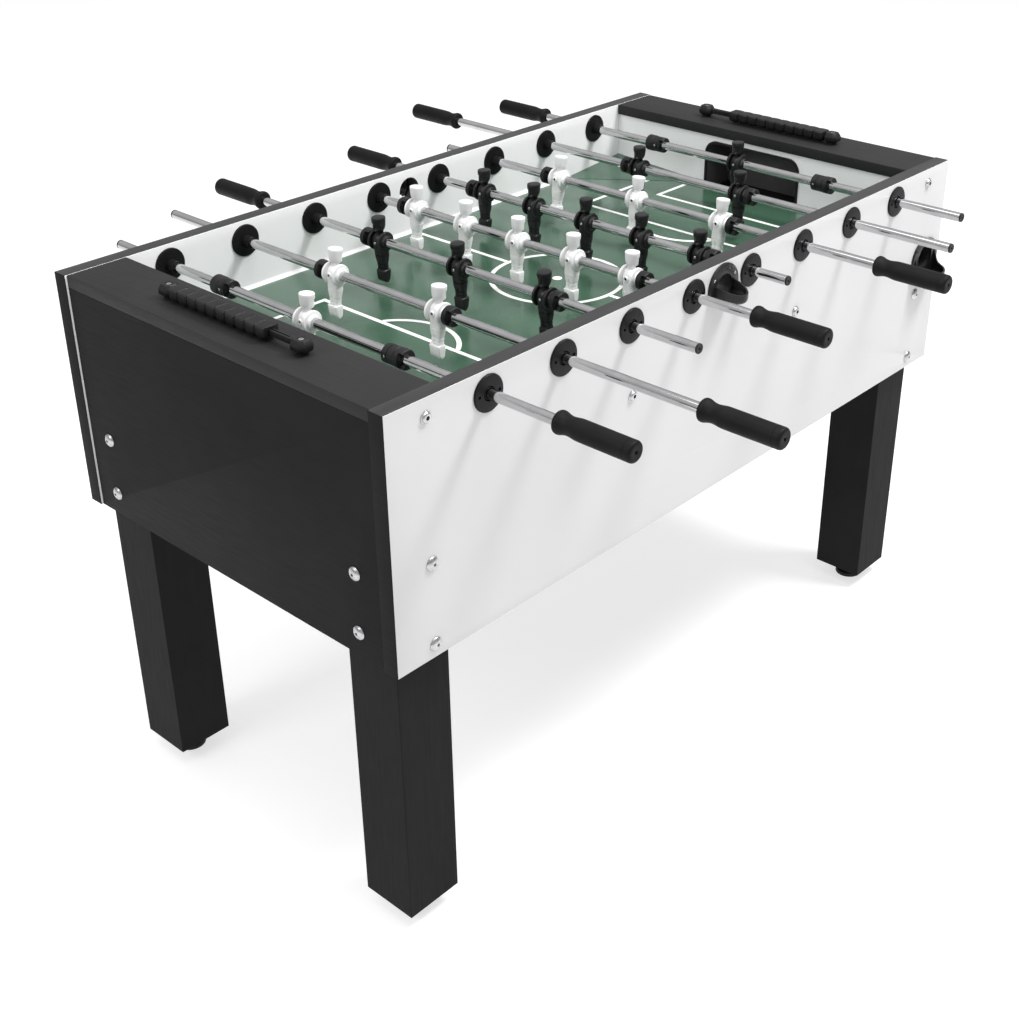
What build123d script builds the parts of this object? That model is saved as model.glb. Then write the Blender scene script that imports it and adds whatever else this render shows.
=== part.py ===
"""Eight-rod foosball table, in millimetres, +Z up.

The origin is on the floor under the middle of the cabinet. X runs along the table, Y along the
rods. The front side panel is at -Y, and the left end, which holds the light team's goal, is at -X.
"""
from build123d import *
import math
import os

os.makedirs("parts", exist_ok=True)

# Cabinet
table_length = 1422.0
cabinet_width = 736.5
top_z = 904.4
cabinet_bottom = 505.3
side_thickness = 27.7
end_thickness = 18.5
end_inset = 3.7
ledge_width = 105.3
ledge_thickness = 20.0
inner_wall_x = 606.0
inner_wall_thickness = 18.0
inner_wall_bottom = 700.0
outer_y = cabinet_width / 2
inner_y = outer_y - side_thickness
end_outer_x = table_length / 2 - end_inset
end_inner_x = end_outer_x - end_thickness
ledge_underside = top_z - ledge_thickness

# Playing field
field_z = 784.0
field_thickness = 12.5
field_gap = 0.1
ramp_rise = 14.3
ramp_along_x = 172.0
ramp_along_y = 227.0
ramp_edge = 0.6
strip_size = 6.0
strip_hollow = 9.6
strip_end_gap = 1.0
beam_x = 218.0
beam_width = 40.0
beam_height = 35.0

# Goals and ball return
goal_half_width = 112.0
goal_top = 874.0
goal_corner = 26.0
goal_rim = 4.5
goal_wall = 2.5
goal_lip = 3.0
goal_depth = 79.0
goal_floor_z = 771.0
goal_apron = 32.0
wall_cut_gap = 0.2
chute_x = 656.5
chute_half_width = 27.0
chute_wall = 3.0
chute_side_height = 20.0
chute_high_y = 112.0
chute_high_z = 742.0
chute_low_z = 706.0

# Cups on the side panels
serving_z = 864.8
serving_hole = 24.0
serving_plate = 38.0
serving_plate_bottom = 845.0
serving_scoop_x = 26.0
serving_scoop_y = 42.0
serving_scoop_bottom = 846.0
serving_rim = ((0.0, 871.0), (15.0, 868.0), (serving_scoop_y, 861.0))
return_z = 730.0
return_hole = 26.0
return_plate_half = 45.0
return_plate_bottom = 686.0
return_plate_top = 764.0
return_plate_corner = 38.0
return_scoop_x = 37.0
return_scoop_y = 40.0
return_scoop_bottom = 689.0
return_rim = ((0.0, 734.0), (10.0, 711.0), (return_scoop_y, 707.0))
cup_plate = 4.0
cup_wall = 3.0

# Legs, feet and bolts
leg_size = 99.3
leg_bottom = 30.6
leg_top = 690.0
leg_wall = 18.0
leg_x = end_inner_x - leg_size / 2
leg_y = inner_y - leg_size / 2
foot_radius = 26.5
foot_height = 9.0
foot_stem = 8.0
foot_stem_top = 56.0
foot_nut = 14.0
foot_nut_height = 6.0
foot_draft = 12.0
bolt_shank = 4.0
bolt_play = 0.1
dome_radius = 11.0
dome_height = 5.5
socket_radius = 9.0
socket_height = 5.0
socket_hex = 4.0
leg_bolt_x = 638.5
leg_bolt_z = (527.0, 657.5)
leg_bolt_y = 289.0
leg_bolt_end_z = (544.4, 640.5)
leg_bolt_grip = 25.0
corner_bolt = (639.0, 877.0)
beam_bolt_z = field_z - field_thickness - beam_height / 2

# Rods and bearings
rod_z = 870.0
rod_pitch = 150.0
rod_radius = 7.94
rod_bore = 5.9
fit = 0.05
rod_x = [rod_pitch * (n - 3.5) for n in range(8)]
disc_radius = 27.5
disc_thickness = 3.5
sleeve_radius = 11.0
sleeve_collar = 13.05
sleeve_collar_width = 17.0
sleeve_step_y = 364.0
nose_inner_y = 320.0
nose_inner_radius = 10.0
nose_outer_y = 371.0
nose_outer_radius = 9.0
barrel_radius = 15.5
barrel_gap = 0.2
disc_hole = 10.4
disc_screw_x = 19.0
disc_screw_hole = 2.4
disc_screw_depth = 1.6

# Men, bumpers, collars and handles
hub_radius = 10.5
hub_half = 19.0
shoulder_radius = 17.5
shoulder_inner = 9.5
shoulder_outer = 14.0
chest_radius = 13.0
head_base_z = 21.0
head_base_radius = 7.2
head_top_z = 42.0
head_top_radius = 11.7
head_bevel = 1.0
brow_z = 36.0
neck_radius = 6.6
waist_z = -12.0
waist_size = (18.0, 22.0)
knee_z = -52.0
knee_size = (12.5, 15.5)
foot_top_size = (11.5, 22.0)
foot_z = -74.0
foot_size = (7.5, 21.0)
bumper_radius = 15.5
bumper_length = 17.0
notch_half_angle = 52.0
notch_depth = 8.0
collar_radius = 14.8
collar_length = 23.5
collar_start = 175.0
screw_radius = 2.5
screw_head_x = -12.6
screw_tip_x = -8.2
screw_z = -1.0
handle_length = 128.0
handle_bore_depth = 112.0
handle_radius = 15.3
flare_radius = 16.8
grip_neck_radius = 13.4
handle_screw_hole = 2.2
flare_length = 4.0
neck_at = 21.0
barrel_at = 37.0
end_round = 4.0
cap_thickness = 3.0
cap_stem = 12.0

# Scorers
scorer_x = end_outer_x - ledge_width / 2
post_y = 149.0
post_length = 29.4
post_width = 27.0
post_chamfer = 6.0
post_foot_radius = 9.0
post_foot_height = 4.6
scorer_top = top_z + 22.6
rail_width = 9.0
rail_height = 9.0
rail_groove = 2.0
rail_z = top_z + 13.4
bead_count = 10
bead_pitch = 22.0
bead_gap = 0.5
bead_width = 30.0
bead_bottom = top_z + 2.2
bead_chamfer = 5.0
bead_clearance = 0.3

# Each rod: men, spacing, side of its handle, reach of the handle end and the bare end from the
# middle of its men, where the middle of its men stands at rest, and how far the men lean to +X.
one_man = dict(men=1, spacing=0.0, grip_end=621.5, bare_end=478.0)
two_men = dict(men=2, spacing=232.6, grip_end=732.0, bare_end=544.0)
three_men = dict(men=3, spacing=185.4, grip_end=621.5, bare_end=478.0)
five_men = dict(men=5, spacing=121.9, grip_end=607.0, bare_end=417.0)
rods = [
    dict(one_man, side=-1, rest=1.0, lean=4.3),
    dict(two_men, side=-1, rest=-4.5, lean=4.6),
    dict(three_men, side=1, rest=-14.5, lean=-3.3),
    dict(five_men, side=-1, rest=-2.0, lean=2.7),
    dict(five_men, side=1, rest=-24.0, lean=0.0),
    dict(three_men, side=-1, rest=-14.5, lean=7.5),
    dict(two_men, side=1, rest=-16.5, lean=0.0),
    dict(one_man, side=1, rest=-21.5, lean=0.0),
]


def finish(piece, name):
    """Labels a finished piece and writes it as its own STEP file."""
    piece.part.label = name
    export_step(piece.part, f"parts/{name}.step")


def block(x_low, x_high, y_low, y_high, z_low, z_high, mode=Mode.ADD):
    """A box between two corners."""
    with BuildSketch(Plane.XY.offset(z_low)) as base:
        with Locations(((x_low + x_high) / 2, (y_low + y_high) / 2)):
            Rectangle(x_high - x_low, y_high - y_low)
    extrude(base.sketch, amount=z_high - z_low, mode=mode)


def rod_side(x, z, radius, y_from, y_to, mode=Mode.ADD):
    """A cylinder along Y between two values of y."""
    with BuildSketch(Plane.XZ.offset(-max(y_from, y_to))) as end_face:
        with Locations((x, z)):
            Circle(radius)
    extrude(end_face.sketch, amount=abs(y_to - y_from), mode=mode)


def man_places(rod):
    """The y of each man on a rod."""
    middle = (rod["men"] - 1) / 2
    return [rod["rest"] + rod["spacing"] * (n - middle) for n in range(rod["men"])]


# ---------------------------------------------------------------- cabinet panels
def side_panel(side):
    """One long side, with holes for the bearings, the serving cup, the return cup and bolts."""
    face = -inner_y if side < 0 else outer_y
    with BuildPart() as panel:
        with BuildSketch(Plane.XZ.offset(-face)):
            with Locations((0, (top_z + cabinet_bottom) / 2)):
                Rectangle(table_length, top_z - cabinet_bottom)
            with Locations(*[(x, rod_z) for x in rod_x]):
                Circle(barrel_radius, mode=Mode.SUBTRACT)
            with Locations((0, serving_z)):
                Circle(serving_hole, mode=Mode.SUBTRACT)
            with Locations((-side * chute_x, return_z)):
                Circle(return_hole, mode=Mode.SUBTRACT)
            with Locations(*[(x, z) for x, z in side_bolt_places]):
                Circle(bolt_shank + bolt_play, mode=Mode.SUBTRACT)
        extrude(amount=side_thickness)
    return panel


beam_bolt_places = [(end * beam_x, beam_bolt_z) for end in (-1, 1)]
corner_bolt_places = [(end * corner_bolt[0], corner_bolt[1]) for end in (-1, 1)]
leg_side_places = [(end * leg_bolt_x, z) for end in (-1, 1) for z in leg_bolt_z]
side_bolt_places = beam_bolt_places + corner_bolt_places + leg_side_places

finish(side_panel(-1), "front_side_panel")
finish(side_panel(1), "back_side_panel")

with BuildPart() as end_panels:
    for end in (-1, 1):
        low_x, high_x = sorted((end * end_inner_x, end * end_outer_x))
        block(low_x, high_x, -inner_y, inner_y, cabinet_bottom, ledge_underside)
        with BuildSketch(Plane.YZ.offset(low_x)):
            with Locations(*[(y, z) for y in (-leg_bolt_y, leg_bolt_y) for z in leg_bolt_end_z]):
                Circle(bolt_shank + bolt_play)
        extrude(amount=end_thickness, mode=Mode.SUBTRACT)
finish(end_panels, "end_panels")

with BuildPart() as end_ledges:
    for end in (-1, 1):
        low_x, high_x = sorted((end * (end_outer_x - ledge_width), end * end_outer_x))
        block(low_x, high_x, -inner_y, inner_y, ledge_underside, top_z)
finish(end_ledges, "end_ledges")


def goal_outline(inset):
    """The goal's upright outline on a YZ plane: square at the floor, round at the top."""
    half = goal_half_width - inset
    height = goal_top - inset - goal_floor_z
    corner = goal_corner - inset
    with Locations((0, goal_floor_z + height / 2)):
        outline = Rectangle(2 * half, height)
    fillet(outline.vertices().group_by(Axis.Y)[-1], radius=corner)


with BuildPart() as inner_end_walls:
    for end in (-1, 1):
        low_x, high_x = sorted((end * inner_wall_x, end * (inner_wall_x + inner_wall_thickness)))
        block(low_x, high_x, -inner_y, inner_y, inner_wall_bottom, ledge_underside)
        with BuildSketch(Plane.YZ.offset(low_x)):
            goal_outline(goal_rim / 2)
        extrude(amount=inner_wall_thickness, mode=Mode.SUBTRACT)
finish(inner_end_walls, "inner_end_walls")

# ---------------------------------------------------------------- playing field
field_half_x = inner_wall_x - field_gap

with BuildPart() as playfield:
    block(-field_half_x, field_half_x, -inner_y, inner_y, field_z - field_thickness, field_z)
finish(playfield, "playfield")

with BuildPart() as corner_ramps:
    for end in (-1, 1):
        for side in (-1, 1):
            corner = (end * field_half_x, side * inner_y)
            along_x = (end * (field_half_x - ramp_along_x), side * inner_y)
            along_y = (end * field_half_x, side * (inner_y - ramp_along_y))
            with BuildSketch(Plane.XY.offset(field_z)):
                with BuildLine():
                    Polyline(corner, along_x, along_y, close=True)
                make_face()
            extrude(amount=ramp_rise + ramp_edge)
            slope = Plane(Vector(along_x[0], along_x[1], field_z + ramp_edge),
                          x_dir=Vector(along_y[0] - along_x[0], along_y[1] - along_x[1], 0),
                          z_dir=Vector(end * ramp_rise / ramp_along_x,
                                       side * ramp_rise / ramp_along_y, -1))
            with BuildSketch(slope):
                Rectangle(4 * ramp_along_y, 4 * ramp_along_y)
            extrude(amount=-4 * ramp_rise, mode=Mode.SUBTRACT)
finish(corner_ramps, "corner_ramps")

strip_half_length = field_half_x - ramp_along_x - strip_end_gap

with BuildPart() as side_strips:
    for side in (-1, 1):
        wall = side * inner_y
        foot = side * (inner_y - strip_size)
        with BuildSketch(Plane.YZ.offset(-strip_half_length)):
            with BuildLine():
                Line((foot, field_z), (wall, field_z))
                Line((wall, field_z), (wall, field_z + strip_size))
                RadiusArc((wall, field_z + strip_size), (foot, field_z), side * strip_hollow)
            make_face()
        extrude(amount=2 * strip_half_length)
finish(side_strips, "side_strips")

with BuildPart() as cross_beams:
    beam_top = field_z - field_thickness
    for end in (-1, 1):
        centre = end * beam_x
        block(centre - beam_width / 2, centre + beam_width / 2, -inner_y, inner_y,
              beam_top - beam_height, beam_top)
        for side in (-1, 1):
            rod_side(centre, beam_bolt_z, bolt_shank + bolt_play,
                     side * inner_y, side * (inner_y - leg_bolt_grip), mode=Mode.SUBTRACT)
finish(cross_beams, "cross_beams")

# ---------------------------------------------------------------- goals and ball return
with BuildPart() as goal_boxes:
    for end in (-1, 1):
        mouth = end * (inner_wall_x - goal_lip)
        plate = Plane.YZ.offset(mouth)
        with BuildSketch(plate):
            goal_outline(0)
            with Locations((0, goal_floor_z)):
                Rectangle(2 * goal_half_width, 2 * (field_z - goal_floor_z), mode=Mode.SUBTRACT)
        extrude(amount=end * (goal_lip - field_gap / 2))
        with BuildSketch(Plane.YZ.offset(end * (inner_wall_x - field_gap / 2))):
            goal_outline(goal_rim / 2 + wall_cut_gap)
        extrude(amount=end * goal_depth)
        with BuildSketch(plate):
            goal_outline(goal_rim)
        extrude(amount=end * (goal_depth + goal_lip - goal_wall), mode=Mode.SUBTRACT)
        apron_from = end * (inner_wall_x + goal_apron)
        half = goal_half_width - goal_rim
        with BuildSketch(Plane.XZ.offset(half)):
            with BuildLine():
                Polyline((end * inner_wall_x, goal_floor_z), (end * inner_wall_x, field_z - 0.5),
                         (apron_from, goal_floor_z + goal_wall), (apron_from, goal_floor_z),
                         close=True)
            make_face()
        extrude(amount=-2 * half)
finish(goal_boxes, "goal_boxes")

with BuildPart() as ball_chutes:
    for end in (-1, 1):
        high = (end * chute_high_y, chute_high_z)
        low = (-end * (inner_y - field_gap), chute_low_z)
        for low_x, high_x, rise in (
            (-chute_half_width, chute_half_width, 0),
            (-chute_half_width, chute_wall - chute_half_width, chute_side_height),
            (chute_half_width - chute_wall, chute_half_width, chute_side_height),
        ):
            with BuildSketch(Plane.YZ.offset(end * chute_x + low_x)):
                with BuildLine():
                    Polyline((high[0], high[1] - chute_wall), (high[0], high[1] + rise),
                             (low[0], low[1] + rise), (low[0], low[1] - chute_wall), close=True)
                make_face()
            extrude(amount=high_x - low_x)
        stop_from = high[0] - end * chute_wall
        block(end * chute_x - chute_half_width, end * chute_x + chute_half_width,
              min(stop_from, high[0]), max(stop_from, high[0]),
              chute_high_z - 2 * chute_wall, chute_high_z + chute_side_height)
finish(ball_chutes, "ball_chutes")


def scoop(x, side, half_x, reach_y, bottom, rim):
    """A half-oval cup on a side panel's face, open on top and towards the panel.

    Its rim is a row of (distance from the plate, height) points.
    """
    rim_top = rim[0][1]
    face = side * (outer_y + cup_plate)
    for inset, floor, mode in ((0, bottom, Mode.ADD), (cup_wall, bottom + cup_wall, Mode.SUBTRACT)):
        with BuildSketch(Plane.XY.offset(floor)) as bowl:
            with Locations((x, face)):
                Ellipse(half_x - inset, reach_y - inset)
            with Locations((x, face - side * reach_y)):
                Rectangle(2 * half_x, 2 * reach_y, mode=Mode.SUBTRACT)
        extrude(bowl.sketch, amount=rim_top - floor + 1, mode=mode)
    with BuildSketch(Plane.YZ.offset(x - half_x - 1)) as above_rim:
        with BuildLine():
            Polyline(*[(face + side * away, z) for away, z in rim],
                     (face + side * reach_y, rim_top + 2), (face, rim_top + 2), close=True)
        make_face()
    extrude(above_rim.sketch, amount=2 * half_x + 2, mode=Mode.SUBTRACT)


with BuildPart() as ball_cups:
    for side in (-1, 1):
        plate_face = outer_y if side > 0 else -outer_y
        back = -plate_face if side < 0 else -(plate_face + cup_plate)
        with BuildSketch(Plane.XZ.offset(back)):
            with Locations((0, serving_z)):
                Circle(serving_plate)
            with Locations((0, (serving_z + serving_plate_bottom) / 2)):
                Rectangle(2 * serving_plate, serving_z - serving_plate_bottom)
            with Locations((0, serving_z)):
                Circle(serving_hole - cup_wall, mode=Mode.SUBTRACT)
        extrude(amount=cup_plate)
        scoop(0, side, serving_scoop_x, serving_scoop_y, serving_scoop_bottom, serving_rim)
        cup_x = -side * chute_x
        with BuildSketch(Plane.XZ.offset(back)):
            with Locations((cup_x, (return_plate_bottom + return_plate_top) / 2)):
                plate_outline = Rectangle(2 * return_plate_half,
                                          return_plate_top - return_plate_bottom)
            fillet(plate_outline.vertices().group_by(Axis.Y)[-1], radius=return_plate_corner)
            with Locations((cup_x, return_z)):
                Circle(return_hole - cup_wall / 2, mode=Mode.SUBTRACT)
        extrude(amount=cup_plate)
        scoop(cup_x, side, return_scoop_x, return_scoop_y, return_scoop_bottom, return_rim)
finish(ball_cups, "ball_cups")

# ---------------------------------------------------------------- legs and feet
leg_places = [(end * leg_x, side * leg_y) for end in (-1, 1) for side in (-1, 1)]

with BuildPart() as legs:
    with BuildSketch(Plane.XY.offset(leg_bottom)):
        with Locations(*leg_places):
            Rectangle(leg_size, leg_size)
    extrude(amount=leg_top - leg_bottom)
    with BuildSketch(Plane.XY.offset(leg_bottom + leg_wall)):
        with Locations(*leg_places):
            Rectangle(leg_size - 2 * leg_wall, leg_size - 2 * leg_wall)
    extrude(amount=leg_top - leg_bottom, mode=Mode.SUBTRACT)
    with BuildSketch(Plane.XY.offset(leg_bottom)):
        with Locations(*leg_places):
            Circle(foot_stem + fit)
    extrude(amount=leg_wall, mode=Mode.SUBTRACT)
    for side in (-1, 1):
        for x, z in leg_side_places:
            rod_side(x, z, bolt_shank + bolt_play, side * (inner_y - leg_wall), side * inner_y,
                     mode=Mode.SUBTRACT)
    for end in (-1, 1):
        start = min(end * end_inner_x, end * (end_inner_x - leg_wall))
        with BuildSketch(Plane.YZ.offset(start)):
            with Locations(*[(y, z) for y in (-leg_bolt_y, leg_bolt_y) for z in leg_bolt_end_z]):
                Circle(bolt_shank + bolt_play)
        extrude(amount=leg_wall, mode=Mode.SUBTRACT)
finish(legs, "legs")

with BuildPart() as levelers:
    with BuildSketch(Plane.XY):
        with Locations(*leg_places):
            Circle(foot_radius)
    extrude(amount=foot_height, taper=foot_draft)
    for low, high, radius in ((0, foot_stem_top, foot_stem),
                              (leg_bottom - foot_nut_height, leg_bottom, foot_nut)):
        with BuildSketch(Plane.XY.offset(low)):
            with Locations(*leg_places):
                Circle(radius)
        extrude(amount=high - low)
finish(levelers, "levelers")

# ---------------------------------------------------------------- bolts
bolt_length = side_thickness + leg_bolt_grip - 1

with BuildPart() as dome_bolt:
    with BuildSketch(Plane.XZ):
        with BuildLine():
            Line((0, 0), (dome_radius, 0))
            RadiusArc((dome_radius, 0), (0, dome_height),
                      -(dome_radius ** 2 + dome_height ** 2) / (2 * dome_height))
            Line((0, dome_height), (0, 0))
        make_face()
    revolve(axis=Axis.Z)
    with BuildSketch(Plane.XY):
        Circle(bolt_shank)
    extrude(amount=-bolt_length)

with BuildPart() as socket_bolt:
    with BuildSketch(Plane.XY):
        Circle(socket_radius)
    extrude(amount=socket_height)
    with BuildSketch(Plane.XY.offset(socket_height)):
        RegularPolygon(socket_hex, 6)
    extrude(amount=-(socket_height - 1), mode=Mode.SUBTRACT)
    with BuildSketch(Plane.XY):
        Circle(bolt_shank)
    extrude(amount=-(side_thickness - 2))


def on_side(side, x, z):
    """A bolt's place on a side panel's outer face, with its head outside."""
    return Location((x, side * outer_y, z), (-side * 90, 0, 0))


def on_end(end, y, z):
    """A bolt's place on an end panel's outer face, with its head outside."""
    return Location((end * end_outer_x, y, z), (0, end * 90, 0))


with BuildPart() as leg_bolts:
    places = [on_side(side, x, z) for side in (-1, 1) for x, z in leg_side_places]
    places += [on_end(end, y, z) for end in (-1, 1) for y in (-leg_bolt_y, leg_bolt_y)
               for z in leg_bolt_end_z]
    with Locations(*places):
        add(dome_bolt.part)
finish(leg_bolts, "leg_bolts")

with BuildPart() as cabinet_bolts:
    with Locations(*[on_side(side, x, z) for side in (-1, 1)
                     for x, z in beam_bolt_places + corner_bolt_places]):
        add(socket_bolt.part)
finish(cabinet_bolts, "cabinet_bolts")

# ---------------------------------------------------------------- bearings
with BuildPart() as bearing_housings:
    for side in (-1, 1):
        for x in rod_x:
            outside = side * (outer_y + disc_thickness)
            collar_end = side * (inner_y + sleeve_collar_width + barrel_gap)
            rod_side(x, rod_z, disc_radius, side * outer_y, outside)
            rod_side(x, rod_z, barrel_radius - fit, side * (inner_y + barrel_gap), side * outer_y)
            rod_side(x, rod_z, sleeve_radius + fit, side * inner_y, side * outer_y,
                     mode=Mode.SUBTRACT)
            rod_side(x, rod_z, disc_hole, side * inner_y, outside, mode=Mode.SUBTRACT)
            rod_side(x, rod_z, sleeve_collar + fit, side * inner_y, collar_end,
                     mode=Mode.SUBTRACT)
            for step in (-disc_screw_x, disc_screw_x):
                rod_side(x + step, rod_z, disc_screw_hole, outside - side * disc_screw_depth,
                         outside, mode=Mode.SUBTRACT)
            inside = side * (inner_y - disc_thickness)
            with BuildSketch(Plane.XZ.offset(-max(inside, side * inner_y))):
                with Locations((x, rod_z)):
                    Circle(disc_radius)
                    Circle(sleeve_radius + fit, mode=Mode.SUBTRACT)
            extrude(amount=disc_thickness)
finish(bearing_housings, "bearing_housings")


def sleeves(x):
    """The two turning sleeves of one rod, each held in its housing by a collar."""
    with BuildPart() as pair:
        for side in (-1, 1):
            inner_step = inner_y - disc_thickness
            rod_side(x, rod_z, nose_inner_radius, side * nose_inner_y, side * inner_step)
            rod_side(x, rod_z, sleeve_radius, side * inner_step, side * sleeve_step_y)
            rod_side(x, rod_z, nose_outer_radius, side * sleeve_step_y, side * nose_outer_y)
            rod_side(x, rod_z, sleeve_collar, side * (inner_y + barrel_gap),
                     side * (inner_y + sleeve_collar_width))
            rod_side(x, rod_z, rod_radius + fit, side * (nose_inner_y - 1),
                     side * (nose_outer_y + 1), mode=Mode.SUBTRACT)
    return pair


# ---------------------------------------------------------------- one man, on a rod along Y
def taper(low_z, low_size, high_z, high_size):
    """A four-sided taper between two rectangles."""
    with BuildSketch(Plane.XY.offset(low_z)) as low:
        Rectangle(*low_size)
    with BuildSketch(Plane.XY.offset(high_z)) as high:
        Rectangle(*high_size)
    loft([low.sketch, high.sketch])


with BuildPart() as man:
    crown = head_top_z - head_bevel
    with BuildSketch(Plane.XZ):
        with BuildLine():
            Polyline((0, 0), (neck_radius, 0), (neck_radius, head_base_z),
                     (head_base_radius, head_base_z), (head_top_radius, brow_z),
                     (head_top_radius, crown), (head_top_radius - head_bevel, head_top_z),
                     (0, head_top_z), close=True)
        make_face()
    revolve(axis=Axis.Z)
    rod_side(0, 0, chest_radius, -shoulder_inner - 1, shoulder_inner + 1)
    rod_side(0, 0, hub_radius, -hub_half, hub_half)
    for side in (-1, 1):
        rod_side(0, 0, shoulder_radius, side * shoulder_inner, side * shoulder_outer)
    taper(knee_z, knee_size, waist_z, waist_size)
    taper(foot_z, foot_size, knee_z, foot_top_size)
    rod_side(0, 0, rod_radius + fit, -hub_half - 1, hub_half + 1, mode=Mode.SUBTRACT)
    with BuildSketch(Plane.YZ.offset(-shoulder_radius)):
        with Locations((0, screw_z)):
            Circle(screw_radius + fit)
    extrude(amount=shoulder_radius, mode=Mode.SUBTRACT)


with BuildPart() as man_screw:
    with BuildSketch(Plane.YZ.offset(screw_head_x)):
        with Locations((0, screw_z)):
            Circle(screw_radius)
    extrude(amount=screw_tip_x - screw_head_x)


def men(rod, x):
    """All the men of one rod, at its lean."""
    with BuildPart() as team:
        with Locations(*[Location((x, y, rod_z), (0, rod["lean"], 0)) for y in man_places(rod)]):
            add(man.part)
    return team


def tube(rod, x):
    """The hollow rod, from inside its handle to its bare end."""
    bare = rod["rest"] - rod["side"] * (rod["bare_end"] - cap_thickness)
    covered = handle_length - handle_bore_depth
    grip = rod["rest"] + rod["side"] * (rod["grip_end"] - covered - 0.5)
    with BuildPart() as bar:
        with BuildSketch(Plane.XZ.offset(-max(bare, grip))):
            with Locations((x, rod_z)):
                Circle(rod_radius)
                Circle(rod_bore, mode=Mode.SUBTRACT)
        extrude(amount=abs(bare - grip))
    return bar


def handle(rod, x):
    """The grip: a flared mouth towards the table, a neck and a straight barrel."""
    side = rod["side"]
    mouth_y = rod["rest"] + side * (rod["grip_end"] - handle_length)
    barrel_end = handle_length - end_round
    with BuildPart() as grip:
        with BuildSketch(Plane(origin=(x, mouth_y, rod_z), x_dir=(0, side, 0), z_dir=(side, 0, 0))):
            with BuildLine():
                Line((0, rod_radius + fit), (0, handle_radius))
                Spline((0, handle_radius), (flare_length, flare_radius), (neck_at, grip_neck_radius),
                       (barrel_at, handle_radius), tangents=((0, 1), (1, 0)))
                Line((barrel_at, handle_radius), (barrel_end, handle_radius))
                RadiusArc((barrel_end, handle_radius), (handle_length, handle_radius - end_round),
                          end_round)
                Line((handle_length, handle_radius - end_round), (handle_length, handle_screw_hole))
                Line((handle_length, handle_screw_hole), (handle_bore_depth, handle_screw_hole))
                Line((handle_bore_depth, handle_screw_hole), (handle_bore_depth, rod_radius + fit))
                Line((handle_bore_depth, rod_radius + fit), (0, rod_radius + fit))
            make_face()
        revolve(axis=Axis((x, mouth_y, rod_z), (0, 1, 0)))
    return grip


def ring(x, radius, start, side, length, notched):
    """A rubber ring on the rod, whose end at -Y may have a notch that is open towards -X."""
    end = start + side * length
    rod_side(x, rod_z, radius, start, end)
    if notched:
        reach = 2 * bumper_radius
        spread = reach * math.tan(math.radians(notch_half_angle))
        with BuildSketch(Plane.XZ.offset(-(min(start, end) + notch_depth))) as wedge:
            with BuildLine():
                Polyline((x, rod_z), (x - reach, rod_z + spread), (x - reach, rod_z - spread),
                         close=True)
            make_face()
        extrude(wedge.sketch, amount=notch_depth, mode=Mode.SUBTRACT)


def fittings(rod, x):
    """Bumpers, the goalkeeper's collars, the men's screws and the cap of the bare end."""
    places = man_places(rod)
    reach = rod["spacing"] * (rod["men"] - 1) / 2
    with BuildPart() as set_of_fittings:
        for side in (-1, 1):
            start = rod["rest"] + side * (reach + hub_half)
            goalkeeper = rod["men"] == 1
            if goalkeeper:
                start = rod["rest"] + side * collar_start
                ring(x, collar_radius, start, side, collar_length, notched=side > 0)
                start += side * (collar_length + fit)
            ring(x, bumper_radius, start, side, bumper_length, notched=not goalkeeper or side < 0)
        low = rod["rest"] - reach - collar_start - 2 * collar_length
        high = rod["rest"] + reach + collar_start + 2 * collar_length
        rod_side(x, rod_z, rod_radius + fit, low, high, mode=Mode.SUBTRACT)
        bare = rod["rest"] - rod["side"] * rod["bare_end"]
        face = bare + rod["side"] * cap_thickness
        rod_side(x, rod_z, rod_radius, bare, face - rod["side"] * fit)
        rod_side(x, rod_z, rod_bore - fit, bare, face + rod["side"] * cap_stem)
        with Locations(*[Location((x, y, rod_z), (0, rod["lean"], 0)) for y in places]):
            add(man_screw.part)
    return set_of_fittings


for number, (rod, x) in enumerate(zip(rods, rod_x), start=1):
    finish(tube(rod, x), f"rod_{number}")
    finish(men(rod, x), f"rod_{number}_men")
    finish(handle(rod, x), f"rod_{number}_handle")
    finish(fittings(rod, x), f"rod_{number}_fittings")
    finish(sleeves(x), f"rod_{number}_sleeves")

# ---------------------------------------------------------------- scorers
post_inner = post_y - post_length / 2

with BuildPart() as scorer_frames:
    for end in (-1, 1):
        centre = end * scorer_x
        for side in (-1, 1):
            with BuildSketch(Plane.XY.offset(top_z)):
                with Locations((centre, side * post_y)):
                    Circle(post_foot_radius)
            extrude(amount=post_foot_height)
            with BuildSketch(Plane.XY.offset(top_z + post_foot_height)):
                with Locations((centre, side * post_y)):
                    post = Rectangle(post_width, post_length)
                chamfer(post.vertices(), length=post_chamfer)
            extrude(amount=scorer_top - top_z - post_foot_height)
        block(centre - rail_width / 2, centre + rail_width / 2, -post_inner, post_inner,
              rail_z - rail_height / 2, rail_z + rail_height / 2)
        block(centre - rail_groove / 2, centre + rail_groove / 2, -post_inner, post_inner,
              rail_z + rail_height / 2 - rail_groove, rail_z + rail_height / 2,
              mode=Mode.SUBTRACT)
finish(scorer_frames, "scorer_frames")


def bead_row(end):
    """Ten counters pushed against one post, leaving the gap at the other."""
    centre = end * scorer_x
    start = -end * (post_inner - bead_clearance)
    height = scorer_top - bead_bottom
    with BuildPart() as row:
        for number in range(bead_count):
            near = start + end * number * bead_pitch
            far = near + end * (bead_pitch - bead_gap)
            with BuildSketch(Plane.XZ.offset(-max(near, far))):
                with Locations((centre, bead_bottom + height / 2)):
                    outline = Rectangle(bead_width, height)
                chamfer(outline.vertices(), length=bead_chamfer)
                with Locations((centre, rail_z)):
                    Rectangle(rail_width + 2 * bead_clearance, rail_height + 2 * bead_clearance,
                              mode=Mode.SUBTRACT)
            extrude(amount=abs(far - near))
    return row


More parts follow.
